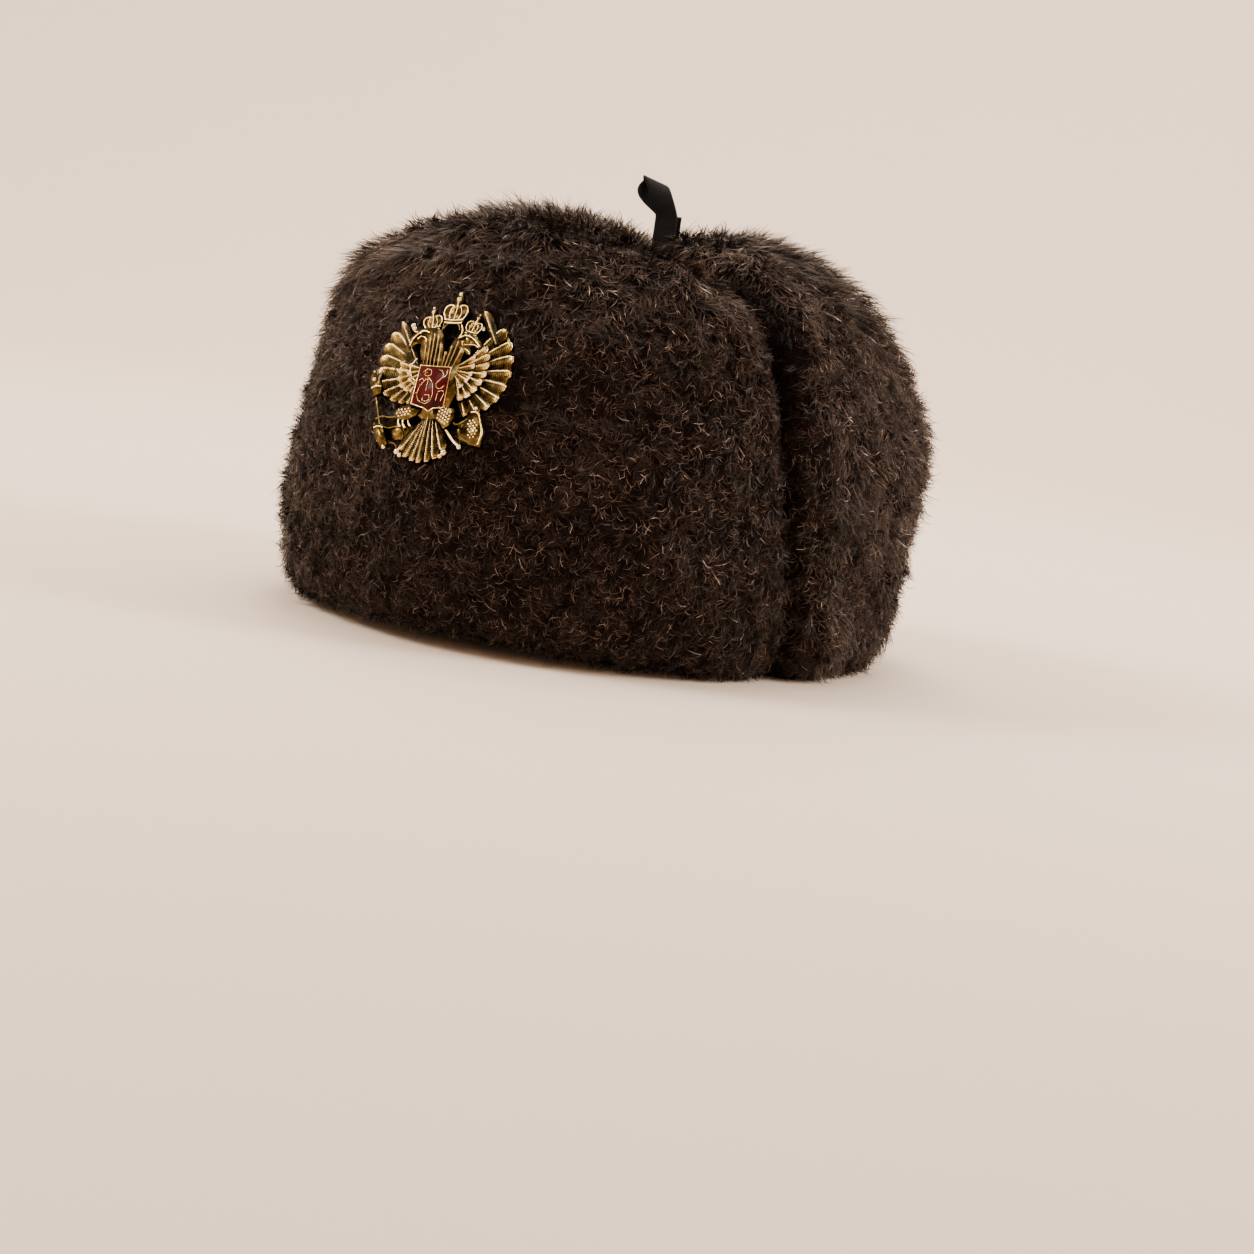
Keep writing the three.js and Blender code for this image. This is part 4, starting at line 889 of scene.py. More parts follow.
# Round wires: radius, height of the middle line above the back, and the points that it passes
WIRES = {
    "sceptre": (0.85, 1.3, [(-24.6, -1.0), (-22.8, -6.0), (-20.6, -12.0), (-18.2, -19.0), (-16.6, -22.6)]),
    "sceptre's upper ring": (0.5, 2.2, [(-26.0, -0.4), (-24.2, 0.4), (-22.4, 0.2)]),
    "sceptre's lower ring": (0.5, 2.2, [(-21.6, -16.0), (-19.8, -15.4), (-18.0, -16.0)]),
    "left claw's grip": (0.6, 1.6, [(-12.8, -11.4), (-16.4, -11.8), (-20.0, -11.4), (-21.8, -12.4)]),
    "left toe 1": (0.75, 2.4, [(-12.0, -12.2), (-12.0, -14.2), (-11.0, -16.0)]),
    "left toe 2": (0.75, 2.5, [(-10.2, -12.8), (-10.0, -14.8), (-8.8, -16.6)]),
    "left toe 3": (0.7, 2.4, [(-8.4, -12.6), (-8.0, -14.4), (-7.0, -15.8)]),
    "left leaf": (0.5, 1.0, [(-20.2, -13.6), (-17.0, -15.6), (-13.0, -15.2), (-10.4, -17.2), (-9.6, -19.4)]),
    "left scroll": (0.55, 0.9, [(-18.6, -18.6), (-16.4, -21.4), (-12.8, -21.6), (-11.0, -24.0)]),
    "right claw's bar": (0.8, 2.1, [(6.6, -16.4), (8.8, -19.2), (11.2, -21.8), (13.4, -23.6)]),
    "right toe": (0.7, 2.2, [(8.6, -13.8), (10.8, -15.2), (12.6, -14.6), (14.6, -13.2)]),
    "bell's rim": (0.6, 2.5, [(15.8, -10.6), (18.0, -10.8), (20.0, -14.2), (21.4, -18.2), (20.9, -23.2)]),
    "bell's foot": (0.55, 2.3, [(20.9, -23.2), (17.4, -22.2), (13.7, -20.4)]),
    "bell's side": (0.4, 2.2, [(13.7, -20.4), (14.2, -15.8), (15.8, -10.8)]),
    "left brow": (0.42, 3.1, [(-7.0, 20.6), (-9.4, 21.4), (-11.8, 20.0), (-13.4, 17.6), (-13.9, 15.8)]),
    "left cheek": (0.32, 3.1, [(-7.4, 16.8), (-8.4, 18.6), (-10.2, 19.2), (-11.4, 18.2)]),
    "right brow": (0.42, 3.0, [(4.8, 18.2), (7.6, 19.2), (10.4, 18.0), (12.6, 16.0), (13.9, 14.5)]),
    "right mouth": (0.3, 2.9, [(7.6, 15.6), (9.2, 15.6), (11.6, 15.4), (13.2, 14.4)]),
    "right lower beak": (0.36, 2.8, [(7.8, 14.2), (9.2, 13.4), (10.4, 11.9)]),
    "left band": (0.5, 2.6, [(-2.4, 24.4), (-2.6, 21.6), (-3.2, 18.6)]),
    "right band": (0.6, 2.6, [(4.8, 23.6), (5.6, 21.4), (5.0, 18.2)]),
    "arch": (0.6, 2.8, [(-2.2, 22.2), (-0.6, 24.2), (1.8, 24.6), (3.6, 23.6), (4.6, 21.4)]),
    "wing's fold": (0.25, 2.4, [(-13.0, 14.0), (-16.4, 12.2), (-18.0, 8.6), (-18.2, 4.6)]),
    "left wing's bow": (0.4, 3.2, [(-9.8, 10.4), (-11.4, 7.4), (-10.6, 3.6), (-8.2, 1.4)]),
    "left ribbon": (0.5, 1.6, [(-15.4, 23.6), (-13.4, 21.8), (-11.2, 22.6)]),
    "right ribbon": (0.5, 1.6, [(12.6, 22.8), (10.8, 24.4), (8.2, 22.4)]),
}
DULL_WIRES = ("sceptre", "left claw's grip", "left leaf", "left scroll", "bell's foot", "bell's side", "arch",
              "right toe", "left band", "wing's fold")
# Small round lumps: place, height of the middle, radius
LUMPS = [
    ((-10.4, 20.4), 3.6, 0.55), ((8.6, 17.4), 3.6, 0.55), ((-14.9, 24.2), 1.8, 1.15), ((-14.0, 23.0), 1.8, 0.8),
    ((13.2, 22.2), 1.8, 1.0), ((10.2, 24.2), 2.2, 0.9), ((-10.6, -25.0), 1.6, 1.2), ((-9.2, -26.4), 1.6, 0.9),
    ((7.8, -25.6), 1.6, 1.2), ((6.6, -27.0), 1.6, 0.9), ((-25.6, 3.0), 2.2, 0.8), ((-24.4, 6.0), 1.6, 0.6),
    ((-26.6, 6.2), 1.6, 0.55), ((-16.2, -23.2), 1.8, 0.9), ((13.6, -23.8), 2.2, 0.95), ((17.0, -9.0), 2.0, 0.8),
]
# Patches of small scales: middle, half sizes, turn in degrees, height
SCALES = [((-10.4, -10.6), (2.6, 1.8), 10, 3.2), ((5.8, -12.0), (3.0, 3.4), 25, 3.2),
          ((17.2, -17.0), (2.4, 4.2), 12, 2.4)]
SCALE_PITCH = 1.25
CROWNS = [((-6.6, 21.9), 7.4, 8, 2.6), ((8.9, 19.8), 6.6, -16, 2.6), ((1.3, 24.2), 9.6, -3, 3.0)]
CROWN_LINE = [(-0.36, 0), (0.36, 0), (0.40, 0.14), (0.52, 0.5), (0.40, 0.76), (0.24, 0.66), (0.1, 0.86), (0.15, 1.0),
              (0, 1.32), (-0.15, 1.0), (-0.1, 0.86), (-0.24, 0.66), (-0.40, 0.76), (-0.52, 0.5), (-0.40, 0.14)]
CROWN_BACK, CROWN_ROUNDING = 0.3, 0.05
# A crown's wires and lumps, in shares of its width from its foot: places, radius, and how far above its face
CROWN_WIRES = [
    ([(-0.37, 0.03), (0, 0), (0.37, 0.03)], 0.05, 0), ([(-0.37, 0.16), (0, 0.13), (0.37, 0.16)], 0.042, 0),
    ([(0, 0.16), (0.02, 0.5), (0, 0.9)], 0.04, 0.1),
    ([(-0.36, 0.16), (-0.48, 0.5), (-0.36, 0.72), (-0.12, 0.72)], 0.045, 0),
    ([(-0.18, 0.18), (-0.24, 0.45), (-0.14, 0.7)], 0.032, 0),
    ([(0.36, 0.16), (0.48, 0.5), (0.36, 0.72), (0.12, 0.72)], 0.045, 0),
    ([(0.18, 0.18), (0.24, 0.45), (0.14, 0.7)], 0.032, 0),
]
CROWN_LUMPS = [((0, 0.98), 0.1, 0), ((0, 1.2), 0.08, -0.2)]
SHIELD = [(-7.5, 7.5), (4.8, 6.4), (5.0, -9.2), (1.2, -9.4), (-0.7, -10.6), (-2.6, -9.2), (-8.0, -7.6)]
ENAMEL_FACE = 3.6
SHIELD_WIRES = [
    [(-5.6, 4.6), (-4.4, 5.8), (-2.8, 5.4), (-2.6, 3.8), (-4.0, 3.2), (-5.0, 4.0), (-4.2, 4.6)],
    [(-3.2, 2.6), (-5.2, 0.6), (-6.4, -2.6), (-5.4, -6.2), (-2.6, -7.6)],
    [(-3.2, 2.6), (-1.4, 0.4), (-0.6, -2.8), (-0.8, -6.4), (-2.6, -7.6)],
    [(-3.2, 2.4), (-3.2, -2.4)], [(-3.4, -4.2), (-1.6, -4.4), (-1.4, -6.0), (-3.0, -6.6), (-4.2, -5.6)],
    [(0.2, 5.6), (1.6, 5.0), (2.4, 3.4), (1.6, 1.6), (0.4, 0.4), (0.6, -1.2), (2.4, -1.8), (3.6, -0.6)],
    [(3.8, 5.6), (3.6, 3.6), (2.8, 2.4)], [(1.4, -3.0), (3.6, -2.8), (3.4, -6.8)], [(1.6, -3.4), (1.4, -6.4)],
    [(-6.6, 1.6), (-5.6, 2.2), (-4.8, 1.4)], [(-7.0, -3.6), (-6.2, -2.4)],
]
# A feather's form, in shares: from 0 at its root to 1 at its tip, or from -1 to 1 across it
FEATHER_STEPS, FEATHER_COLUMNS = 10, 12
FEATHER_NARROW, FEATHER_FULL, FEATHER_ROUNDS = 0.42, 0.72, 0.86  # least width, and where it is full and rounds off
TIP_CORNER, TIP_STARTS = 0.02, 0.75
WEB_POWER = 2.2  # above 1, the web is flatter along its middle
RIB_WIDTH, RIB_END, RIB_FADE = 0.13, 1.02, 7
FEATHER_LIFTS = (0.5, 0.5, 0.25)  # what web, rib and tip add to its height
FEATHER_WORN = (0.16, 0.9, 0.55)  # and to how pale it is
ROOT_TO_TIP_RISE = (0.7, 1.0)
BARB_PITCH = 0.75
SHORT_FEATHER, SHORT_RISE = 3.3, 1.35
SHORT_TIP, LONG_TIP = (0.66, 0.26), (0.86, 0.1)  # where a feather's raised tip starts, and how pale its web is
PLATE_INSET, PLATE_DOME = 0.6, 0.12  # shares of its rim's rounding
PLATE_WORN, PLATE_RIM_WORN = 0.38, 0.2
WIRE_SLIMMING = 0.64
WIRE_FADE, WIRE_LEAST = 1.4, 0.15  # over how many radii a wire turns pale, and its least share of that
BRIGHT, DULL = 0.74, 0.34  # how worn, and so how pale, a wire's top is
FRAME_RADIUS, FRAME_WORN = 0.34, 0.66  # round the enamel
SCROLL_RADIUS, SCROLL_LIFT, SCROLL_WORN = 0.14, 0.1, 0.7
ENAMEL_BACK, ENAMEL_ROUNDING = 1.0, 0.2


class Relief:
    """The cast badge, built up from feathers, plates, wires and lumps in one mesh, in its own frame."""

    def __init__(self):
        self.form = bmesh.new()
        self.relief = self.form.loops.layers.uv.new("relief")

    def mark(self, faces, worn, along=lambda point: 0.0):
        for face in faces:
            face.smooth = True
            for loop in face.loops:
                loop[self.relief].uv = (along(loop.vert.co), worn(loop.vert.co))

    def close_down(self, verts, floor):
        """Gives an open sheet of faces side walls and a flat back at a height."""
        edges = [e for e in {e for v in verts for e in v.link_edges} if e.is_boundary]
        made = bmesh.ops.extrude_edge_only(self.form, edges=edges)["geom"]
        for vert in (g for g in made if isinstance(g, bmesh.types.BMVert)):
            vert.co.z = floor
        walls = [g for g in made if isinstance(g, bmesh.types.BMFace)]
        rim = [g for g in made if isinstance(g, bmesh.types.BMEdge) and g.is_boundary]
        back = bmesh.ops.contextual_create(self.form, geom=rim)["faces"]
        self.mark(walls + back, lambda point: 0.0)

    def feather(self, root, tip, width, base, rise, rib):
        grid = bmesh.ops.create_grid(self.form, x_segments=FEATHER_STEPS, y_segments=FEATHER_COLUMNS, size=1)
        verts = grid["verts"]
        start, end = Vector(root), Vector(tip)
        along = end - start
        length = along.length
        along.normalize()
        side = Vector((-along.y, along.x))
        shares = {}
        lobe, plain = SHORT_TIP if width < SHORT_FEATHER and rise < SHORT_RISE else LONG_TIP
        for vert in verts:
            s, t = (vert.co.x + 1) / 2, vert.co.y
            widest = between((FEATHER_NARROW, 1.0), math.sin(min(s / FEATHER_FULL, 1) * math.pi / 2))
            rounded = math.sqrt(max(1 - (max(s - FEATHER_ROUNDS, 0) / (1 - FEATHER_ROUNDS)) ** 2, 0.0))
            half = width / 2 * widest * max(rounded, FEATHER_NARROW)
            reach = s - TIP_CORNER * abs(t) * (s > TIP_STARTS)
            flat = start + along * (length * reach) + side * (half * t)
            web = 1 - abs(t) ** WEB_POWER
            spine = math.exp(-((t - rib) / RIB_WIDTH) ** 2) * min(1, (RIB_END - s) * RIB_FADE)
            raised = max(s - lobe, 0) / (1 - lobe)
            lift = sum(part * value for part, value in zip(FEATHER_LIFTS, (web, spine, raised)))
            vert.co = (flat.x, flat.y, base + rise * lift * between(ROOT_TO_TIP_RISE, s))
            pale = sum(part * value for part, value in zip(FEATHER_WORN, (web * s, spine, raised)))
            shares[vert] = (s, min(plain + pale, 1))
        faces = {face for vert in verts for face in vert.link_faces}
        for face in faces:
            face.smooth = True
            for loop in face.loops:
                s, worn = shares[loop.vert]
                loop[self.relief].uv = (s * length / BARB_PITCH, worn)
        self.close_down(verts, 0.0)

    def plate(self, outline, back, face, rounding):
        verts = [self.form.verts.new((x, y, face)) for x, y in outline]
        top = self.form.faces.new(verts)
        top.normal_update()
        if top.normal.z < 0:
            top.normal_flip()
        inner = bmesh.ops.inset_region(self.form, faces=[top], thickness=rounding, depth=0, use_even_offset=True)
        rim = inner["faces"]
        for vert in verts:
            vert.co.z = face - rounding
        cut = bmesh.ops.inset_region(self.form, faces=[top], thickness=rounding * PLATE_INSET, depth=0)
        for vert in top.verts:
            vert.co.z = face + rounding * PLATE_DOME
        self.mark(rim + cut["faces"] + [top],
                  lambda point: PLATE_RIM_WORN if point.z < face - rounding / 2 else PLATE_WORN)
        self.close_down(verts, back)

    def wire(self, points, radius, height, worn=BRIGHT, corners=False):
        curve = bpy.data.curves.new("wire", "CURVE")
        curve.dimensions = "3D"
        curve.bevel_depth = radius * WIRE_SLIMMING
        curve.bevel_resolution = 2
        curve.use_fill_caps = True
        curve.resolution_u = 4
        spline = curve.splines.new("BEZIER")
        spline.bezier_points.add(len(points) - 1)
        for knot, (x, y) in zip(spline.bezier_points, points):
            knot.co = (x, y, height)
            knot.handle_left_type = knot.handle_right_type = "VECTOR" if corners else "AUTO"
        spline.use_cyclic_u = corners
        holder = bpy.data.objects.new("wire", curve)
        mesh = bpy.data.meshes.new_from_object(holder)
        before = set(self.form.faces)
        self.form.from_mesh(mesh)
        self.mark(set(self.form.faces) - before,
                  lambda point: worn * min(max((point.z - height + radius) / (WIRE_FADE * radius), WIRE_LEAST), 1))
        bpy.data.objects.remove(holder)
        bpy.data.curves.remove(curve)
        bpy.data.meshes.remove(mesh)

    def lump(self, place, height, radius, worn=0.9, squash=0.8):
        at = Matrix.Translation((place[0], place[1], height)) @ Matrix.Diagonal((1, 1, squash, 1))
        made = bmesh.ops.create_icosphere(self.form, subdivisions=2 if radius > 0.7 else 1, radius=radius, matrix=at)
        faces = {face for vert in made["verts"] for face in vert.link_faces}
        self.mark(faces, lambda point: worn * min(max((point.z - height) / radius + 0.5, 0.1), 1))

    def crown(self, foot, width, turn, height):
        spin = Matrix.Rotation(math.radians(turn), 2)

        def place(u, v):
            return tuple(Vector(foot) + spin @ Vector((u * width, v * width)))
        self.plate([place(u, v) for u, v in CROWN_LINE], CROWN_BACK, height, CROWN_ROUNDING * width)
        for points, radius, lift in CROWN_WIRES:
            self.wire([place(u, v) for u, v in points], radius * width, height + lift)
        for (u, v), radius, lift in CROWN_LUMPS:
            self.lump(place(u, v), height + lift, radius * width)

    def piece(self, name, material):
        bmesh.ops.recalc_face_normals(self.form, faces=self.form.faces)
        self.form.transform(badge_matrix() @ Matrix.Scale(MM, 4))
        return object_of(self.form, name, material)


class USHANKA_OT_badge(bpy.types.Operator):
    """Makes the cast eagle badge and the enamel of its shield"""
    bl_idname = "ushanka.badge"
    bl_label = "Badge"

    def execute(self, context):
        look = context.scene.ushanka_badge
        cast = Relief()
        for row in FEATHERS:
            cast.feather(*row)
        for outline, back, face, rounding in PLATES.values():
            cast.plate(outline, back, face, rounding)
        for name, (radius, height, points) in WIRES.items():
            cast.wire(points, radius, height, worn=DULL if name in DULL_WIRES else BRIGHT)
        for place, height, radius in LUMPS:
            cast.lump(place, height, radius)
        for patch in SCALES:
            self.scales(cast, *patch)
        for crown in CROWNS:
            cast.crown(*crown)
        cast.wire(SHIELD, FRAME_RADIUS, ENAMEL_FACE, worn=FRAME_WORN, corners=True)
        for points in SHIELD_WIRES:
            cast.wire(points, SCROLL_RADIUS, ENAMEL_FACE + SCROLL_LIFT, worn=SCROLL_WORN)
        eagle = cast.piece("badge_cast", gilt_material(look))
        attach(eagle, "root")
        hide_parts("badge_eagle")
        glass = Relief()
        glass.plate(SHIELD, ENAMEL_BACK, ENAMEL_FACE, ENAMEL_ROUNDING)
        enamel = glass.piece("badge_enamel", enamel_material(look))
        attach(enamel, "root")
        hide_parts("badge_shield")
        return {"FINISHED"}

    def scales(self, cast, middle, half, turn, height):
        spin = Matrix.Rotation(math.radians(turn), 2)
        rows, columns = int(half[1] / SCALE_PITCH * 1.15), int(half[0] / SCALE_PITCH)
        for i in range(-rows, rows + 1):
            for j in range(-columns, columns + 1):
                at = Vector(((j + 0.5 * (i % 2)) * SCALE_PITCH, i * SCALE_PITCH * 0.87))
                if (at.x / half[0]) ** 2 + (at.y / half[1]) ** 2 < 1:
                    cast.lump(tuple(Vector(middle) + spin @ at), height, 0.42 * SCALE_PITCH)


LOOP_STEM, LOOP_HEAD, LOOP_OPENING = 19 * MM, 15 * MM, 4.5 * MM
LOOP_LEAN, LOOP_TWIST, LOOP_TURN, LOOP_SAG = 28, 30, 20, 0.3
LOOP_HALF_OPENING = [(0.0, 0.08), (0.3, 0.16), (0.5, 0.24), (0.62, 0.5), (0.75, 0.86), (0.88, 1.0), (0.97, 0.62),
                     (1.0, 0.0)]
LOOP_GATHER = 0.16
LOOP_BULGE = 4.5 * MM
LOOP_TUCK = 1.8 * MM  # how far the loop and the loose end are tucked into the knot
END_LENGTH, END_ASIDE, END_BEHIND = 20 * MM, 0.4 * MM, 3.85 * MM
KNOT_PLEAT, KNOT_PLEATS, KNOT_SLANT = 0.07, 5, 3  # depth, how many, and how they slant
KNOT_GROOVE, KNOT_GROOVE_LEAN, KNOT_GROOVE_WIDTH = 0.12, 0.25, 0.16  # where the ribbon crosses itself
KNOT_CORNER, KNOT_SIZE = 1.25, 0.98  # how far the box's corners are filled, and how much of the CAD's box
STRAP_ARCH = 2.2 * MM
RIBBON_COLUMNS = 8


class USHANKA_OT_tie(bpy.types.Operator):
    """Makes the ribbon's knot, its standing loop, its loose end and the two straps"""
    bl_idname = "ushanka.tie"
    bl_label = "Ribbon tie"

    def execute(self, context):
        look = context.scene.ushanka_ribbon
        self.look = look
        self.material = ribbon_material(look)
        low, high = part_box("tie_knot")
        self.top = Vector(((low.x + high.x) / 2, (low.y + high.y) / 2, high.z - LOOP_TUCK))
        self.knot(low, high)
        self.loop()
        self.end()
        for side in ("left", "right"):
            self.strap("tie_strap_" + side)
        return {"FINISHED"}

    def strip(self, name, path, width, place, across=lambda share: (share - 0.5, 0.0)):
        """A ribbon with a true thickness along a path of (aside, height) pairs. across gives its section.

        place takes how far a point lies across the ribbon, aside of it and along it, and gives its place.
        """
        form = bmesh.new()
        weave = form.loops.layers.uv.new("weave")
        lengths = [0.0]
        for a, b in zip(path, path[1:]):
            lengths.append(lengths[-1] + (Vector(b) - Vector(a)).length)
        bmesh.ops.create_grid(form, x_segments=RIBBON_COLUMNS, y_segments=len(path) - 1, size=1)
        flat = {}
        for vert in form.verts:
            part, row = (vert.co.x + 1) / 2, round((vert.co.y + 1) / 2 * (len(path) - 1))
            u, lift = across(part)
            aside, height = path[row]
            flat[vert] = (part * width, lengths[row])
            vert.co = place(u * width, aside + lift, height)
        for face in form.faces:
            for loop in face.loops:
                loop[weave].uv = flat[loop.vert]
        bmesh.ops.recalc_face_normals(form, faces=form.faces)
        ribbon = object_of(form, name, self.material)
        cloth = ribbon.modifiers.new("cloth", "SOLIDIFY")
        cloth.thickness = self.look.thickness
        cloth.offset = 0
        apply_modifiers(ribbon)
        ribbon.data.shade_smooth()
        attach(ribbon, "root")
        return ribbon, lengths[-1]

    def loop(self):
        tall = LOOP_STEM + LOOP_HEAD
        side = smooth_path([(open_ * LOOP_OPENING / 2 + self.look.thickness / 2, height * tall)
                            for height, open_ in LOOP_HALF_OPENING[:-1]] + [(0.0, tall)], 5)
        path = side + [(-aside, height) for aside, height in reversed(side[:-1])]

        def place(u, aside, height):
            above = max(height - LOOP_STEM, 0)
            soft = above * above / (above + 1.2 * MM)
            share = min(soft / LOOP_HEAD, 1)
            opened = math.sin(min(share * 1.25, 1) * math.pi) if aside > 0 else 0.0
            u = u * (1 - LOOP_GATHER * (1 - min(share * 3, 1))) - LOOP_BULGE * opened * (0.5 - u / self.look.width)
            point = Vector((u, aside + LOOP_GATHER * 2 * MM * math.cos(u / self.look.width * math.pi)))
            droop = LOOP_SAG * share * u
            twist = math.radians(LOOP_TWIST) * share
            x = math.cos(twist) * point.x - math.sin(twist) * point.y
            y = math.sin(twist) * point.x + math.cos(twist) * point.y
            lean = math.radians(LOOP_LEAN)
            bent = Vector((x - soft * math.sin(lean), y, height - soft + soft * math.cos(lean) - droop))
            return self.top + Matrix.Rotation(math.radians(LOOP_TURN), 3, "Z") @ bent
        ribbon, length = self.strip("tie_loop_ribbon", path, self.look.width, place)
        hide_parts("tie_loop")

    def end(self):
        path = [(0.0, END_LENGTH * i / 14) for i in range(15)]

        def place(u, aside, height):
            share = height / END_LENGTH
            bow = 0.5 * MM * math.sin(share * 5) + 0.4 * MM * math.cos(u / self.look.width * 4)
            bent = Vector((END_ASIDE + u, END_BEHIND + bow + aside, height))
            return self.top + Matrix.Rotation(math.radians(LOOP_TURN), 3, "Z") @ bent
        ribbon, length = self.strip("tie_end_ribbon", path, self.look.width, place)
        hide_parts("tie_end")

    def strap(self, node):
        low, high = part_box(node)
        middle = (low + high) / 2
        span = high - low
        path = [(0.0, span.x * i / 8) for i in range(9)]

        def place(u, aside, height):
            return Vector((low.x + height, middle.y + u, middle.z + aside))

        def across(share):
            return (share - 0.5) * span.y / self.look.width, STRAP_ARCH * (math.sin(share * math.pi) - 0.6)
        ribbon, length = self.strip(node + "_ribbon", path, self.look.width, place, across)
        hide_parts(node)

    def knot(self, low, high):
        form = bmesh.new()
        weave = form.loops.layers.uv.new("weave")
        middle, half = (low + high) / 2, (high - low) / 2
        bmesh.ops.create_uvsphere(form, u_segments=32, v_segments=20, radius=1)
        for vert in form.verts:
            x, y, z = vert.co
            boxy = (abs(x) ** 3 + abs(y) ** 3 + abs(z) ** 3) ** (-1 / 3)
            pleats = KNOT_PLEAT * math.sin(KNOT_PLEATS * math.atan2(z, x) + KNOT_SLANT * y)
            groove = KNOT_GROOVE * math.exp(-((x - KNOT_GROOVE_LEAN * z) / KNOT_GROOVE_WIDTH) ** 2)
            size = min(boxy, KNOT_CORNER) * (1 + pleats - groove) * KNOT_SIZE
            vert.co = middle + Vector((x * half.x, y * half.y, z * half.z)) * size
        for face in form.faces:
            face.smooth = True
            for loop in face.loops:
                loop[weave].uv = (loop.vert.co.y, loop.vert.co.x + loop.vert.co.z)
        knot = object_of(form, "tie_knot_ribbon", self.material)
        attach(knot, "root")
        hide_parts("tie_knot")


def smooth_path(points, steps):
    """A finer path on a smooth curve through the points."""
    out = []
    for i in range(len(points) - 1):
        a, b, c, d = (Vector(points[min(max(i + k, 0), len(points) - 1)]) for k in (-1, 0, 1, 2))
        for k in range(steps):
            t = k / steps
            out.append(tuple(b + 0.5 * t * (c - a + t * (2 * a - 5 * b + 4 * c - d + t * (3 * (b - c) + d - a)))))
    return out + [tuple(points[-1])]


CROWN_RADIUS = 95 * MM
SEAM_WIDTH = 2.2 * MM


class USHANKA_OT_crown(bpy.types.Operator):
    """Makes the crown's smooth cloth, drawn in along its seams"""
    bl_idname = "ushanka.crown"
    bl_label = "Crown"

    def execute(self, context):
        look = context.scene.ushanka_crown
        form = welded("crown")
        bmesh.ops.join_triangles(form, faces=form.faces, angle_face_threshold=3.2, angle_shape_threshold=3.2)
        cover = object_of(form, "crown_cloth_cover", crown_material(look))
        smooth = cover.modifiers.new("smooth", "SUBSURF")
        smooth.levels = smooth.render_levels = 2
        apply_modifiers(cover)
        ways = [vert.normal.copy() for vert in cover.data.vertices]
        for vert, way in zip(cover.data.vertices, ways):
            x = (vert.co.x - CROWN_MIDDLE.x) / CROWN_HALF.x
            y = (vert.co.y - CROWN_MIDDLE.y) / CROWN_HALF.y
            turn = math.atan2(y, x) * look.seams / 2
            off = abs(math.sin(turn)) / max(look.seams / 2, 1) * math.hypot(x, y) * CROWN_RADIUS
            pull = look.seam_depth * math.exp(-(off / SEAM_WIDTH) ** 2)
            vert.co -= way * pull
        cover.data.shade_smooth()
        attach(cover, "root")
        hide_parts("crown")
        return {"FINISHED"}


IMAGE = 1254  # the photo's width in pixels
HUB = Vector((0, 1.75 * MM, 75 * MM))  # a place in the hat, and the photo's pixel that it falls on
HUB_PIXEL = (613, 437)
SENSOR = 36
SWEEP_FLOOR, SWEEP_CURVE, SWEEP_HEIGHT, SWEEP_STEPS = 1.2, 0.9, 3.2, 12
WORLD_STRENGTH = 0.14
HAT_AIM, WALL_AIM, WALL_AWAY = 0.08, 0.45, 2.1
# Each light: how far it stands towards the camera, to the camera's right and above the floor, its size, its
# watts and its colour. All are aimed at the hat but the wash, which lights the wall.
LIGHTS = {
    "key": (0.2, -1.15, 0.95, 0.6, 23, "#fff0e0"),
    "side": (0.1, 1.25, 0.8, 0.6, 21, "#fff4e8"),
    "top": (-0.2, 0.0, 1.6, 1.0, 12, "#fff0e0"),
    "back": (-0.95, -0.2, 1.15, 0.6, 8, "#ffe8d4"),
    "wash": (-0.8, 0.3, 1.75, 1.1, 34, "#fff0e2"),
}


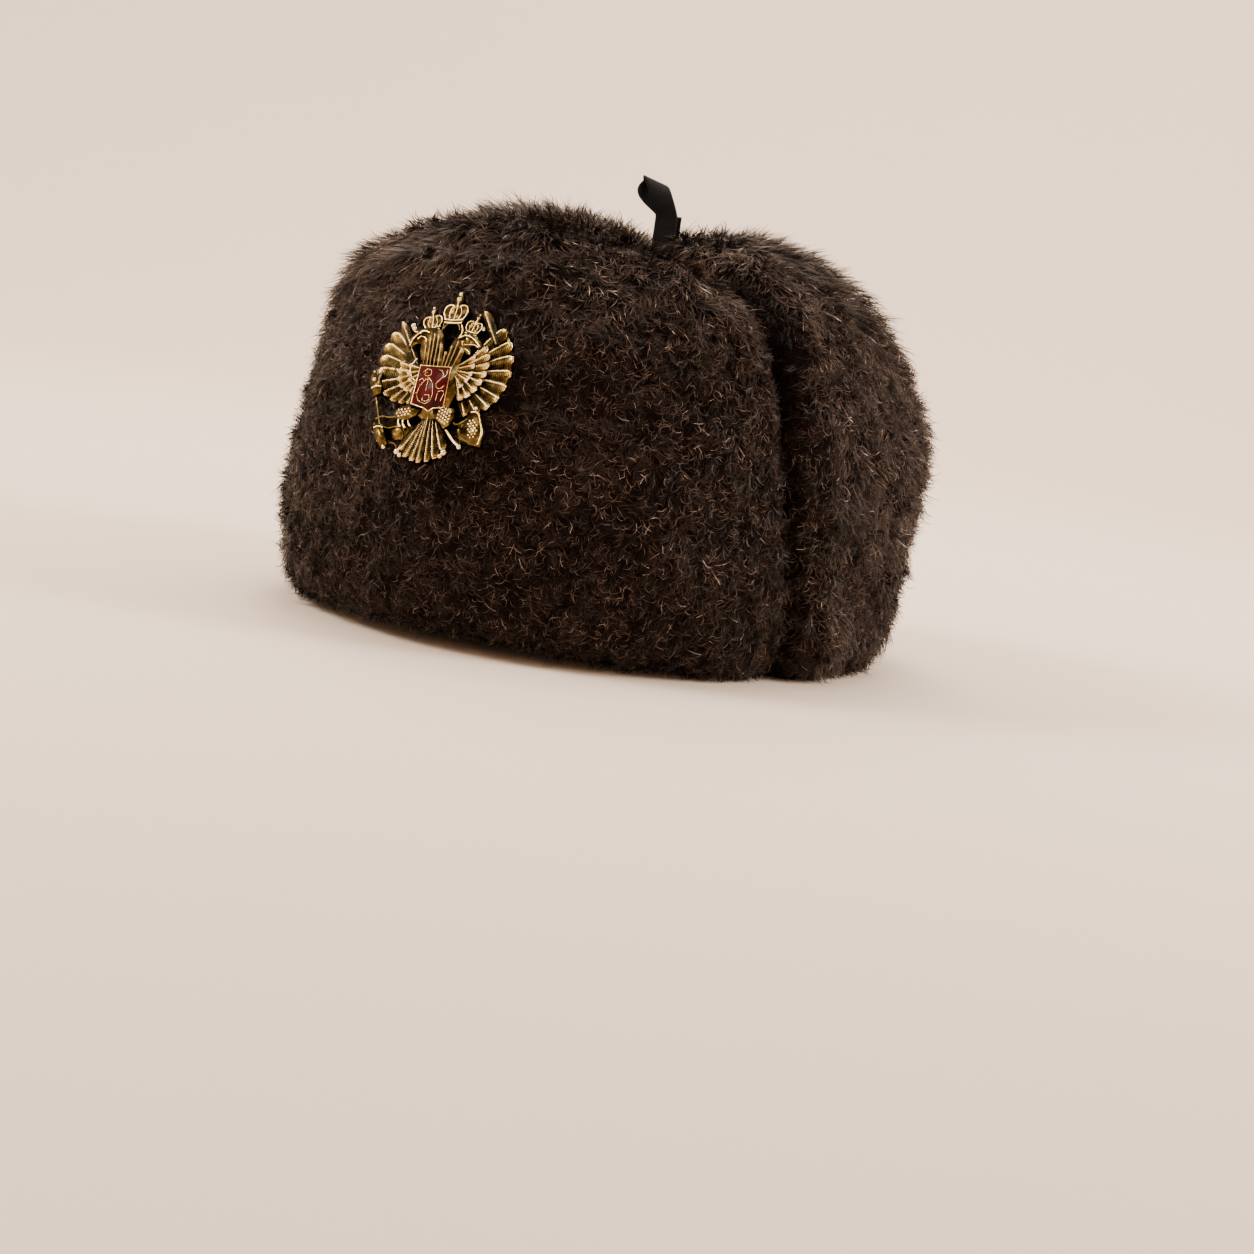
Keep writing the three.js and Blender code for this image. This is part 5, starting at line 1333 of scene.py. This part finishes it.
class USHANKA_OT_stage(bpy.types.Operator):
    """Sets up the paper sweep, the soft lights and the camera"""
    bl_idname = "ushanka.stage"
    bl_label = "Stage"

    def execute(self, context):
        look = context.scene.ushanka_stage
        self.camera(context, look)
        self.sweep(look)
        self.lights(context, look)
        return {"FINISHED"}

    def camera(self, context, look):
        a, e, r = look.azimuth, look.elevation, look.roll
        back = Vector((math.sin(a) * math.cos(e), -math.cos(a) * math.cos(e), math.sin(e)))
        level = Vector((math.cos(a), math.sin(a), 0))
        upright = back.cross(level)
        right = math.cos(r) * level + math.sin(r) * upright
        up = -math.sin(r) * level + math.cos(r) * upright
        pixels = look.lens / SENSOR * IMAGE
        aside = (HUB_PIXEL[0] - IMAGE / 2) / pixels
        above = -(HUB_PIXEL[1] - IMAGE / 2) / pixels
        ahead = (-back - aside * right - above * up).normalized()
        up = (up - ahead * up.dot(ahead)).normalized()
        right = ahead.cross(up)
        data = bpy.data.cameras.new("photo_camera")
        data.lens = look.lens
        data.sensor_width = SENSOR
        data.clip_start = 0.01
        camera = bpy.data.objects.new("photo_camera", data)
        context.scene.collection.objects.link(camera)
        turned = Matrix((right, up, -ahead)).transposed().to_4x4()
        camera.matrix_world = Matrix.Translation(HUB + back * look.distance) @ turned
        context.scene.camera = camera

    def sweep(self, look):
        """A floor that curves up into a wall all round, wide enough for every view."""
        form = bmesh.new()
        profile = [(0.001, 0.0), (SWEEP_FLOOR, 0.0)]
        for i in range(1, SWEEP_STEPS + 1):
            turn = math.radians(90 * i / SWEEP_STEPS)
            profile.append((SWEEP_FLOOR + SWEEP_CURVE * math.sin(turn), SWEEP_CURVE * (1 - math.cos(turn))))
        profile.append((SWEEP_FLOOR + SWEEP_CURVE, SWEEP_HEIGHT))
        verts = [form.verts.new((x, 0, z)) for x, z in profile]
        edges = [form.edges.new(pair) for pair in zip(verts, verts[1:])]
        bmesh.ops.spin(form, geom=verts + edges, cent=(0, 0, 0), axis=(0, 0, 1), angle=math.tau, steps=64,
                       use_merge=True)
        bmesh.ops.remove_doubles(form, verts=form.verts, dist=0.002)
        for face in form.faces:
            face.normal_update()
            face.smooth = True
            if face.normal.dot(Vector((0, 0, 1)) - face.calc_center_median()) < 0:
                face.normal_flip()
        material, _, shader = new_material("matt seamless paper", 0.9, 0.2)
        shader.inputs["Base Color"].default_value = look.floor
        object_of(form, "paper_sweep", material)

    def lights(self, context, look):
        world = bpy.data.worlds.new("studio")
        world.use_nodes = True
        world.node_tree.nodes["Background"].inputs["Color"].default_value = linear("#f2ece6")
        world.node_tree.nodes["Background"].inputs["Strength"].default_value = WORLD_STRENGTH
        context.scene.world = world
        a = look.azimuth
        toward = Vector((math.sin(a), -math.cos(a), 0))
        right = Vector((math.cos(a), math.sin(a), 0))
        hat = Vector((0, 0, HAT_AIM))
        wall = -toward * WALL_AWAY + Vector((0, 0, WALL_AIM))
        for name, (near, aside, height, size, power, colour) in LIGHTS.items():
            place = toward * near + right * aside + Vector((0, 0, height))
            aim = wall if name == "wash" else hat
            data = bpy.data.lights.new(name, "AREA")
            data.shape = "DISK"
            data.size = size
            data.energy = power
            data.color = linear(colour)[:3]
            light = bpy.data.objects.new(name, data)
            context.scene.collection.objects.link(light)
            turned = (aim - place).to_track_quat("-Z", "Y").to_matrix().to_4x4()
            light.matrix_world = Matrix.Translation(place) @ turned


class USHANKA_PT_panel(bpy.types.Panel):
    """Lists the makers of the hat's pieces"""
    bl_label = "Ushanka"
    bl_idname = "USHANKA_PT_panel"
    bl_space_type = "VIEW_3D"
    bl_region_type = "UI"
    bl_category = "Ushanka"

    def draw(self, context):
        for group in (getattr(context.scene, name) for name in LOOKS):
            box = self.layout.box()
            for name in group.__annotations__:
                box.prop(group, name)
        for maker in MAKERS:
            self.layout.operator(maker.bl_idname)


LOOKS = {"ushanka_pile": PileLook, "ushanka_badge": BadgeLook, "ushanka_ribbon": RibbonLook,
         "ushanka_crown": CrownLook, "ushanka_stage": StageLook}
MAKERS = (USHANKA_OT_stage, USHANKA_OT_crown, USHANKA_OT_flaps, USHANKA_OT_badge, USHANKA_OT_tie)


def register():
    for group in LOOKS.values():
        bpy.utils.register_class(group)
    for maker in MAKERS:
        bpy.utils.register_class(maker)
    bpy.utils.register_class(USHANKA_PT_panel)
    for name, group in LOOKS.items():
        setattr(bpy.types.Scene, name, bpy.props.PointerProperty(type=group))


def unregister():
    for name in LOOKS:
        delattr(bpy.types.Scene, name)
    bpy.utils.unregister_class(USHANKA_PT_panel)
    for maker in reversed(MAKERS):
        bpy.utils.unregister_class(maker)
    for group in reversed(LOOKS.values()):
        bpy.utils.unregister_class(group)


def main():
    register()
    for maker in MAKERS:
        family, call = maker.bl_idname.split(".")
        getattr(getattr(bpy.ops, family), call)()


if __name__ == "__main__":
    main()
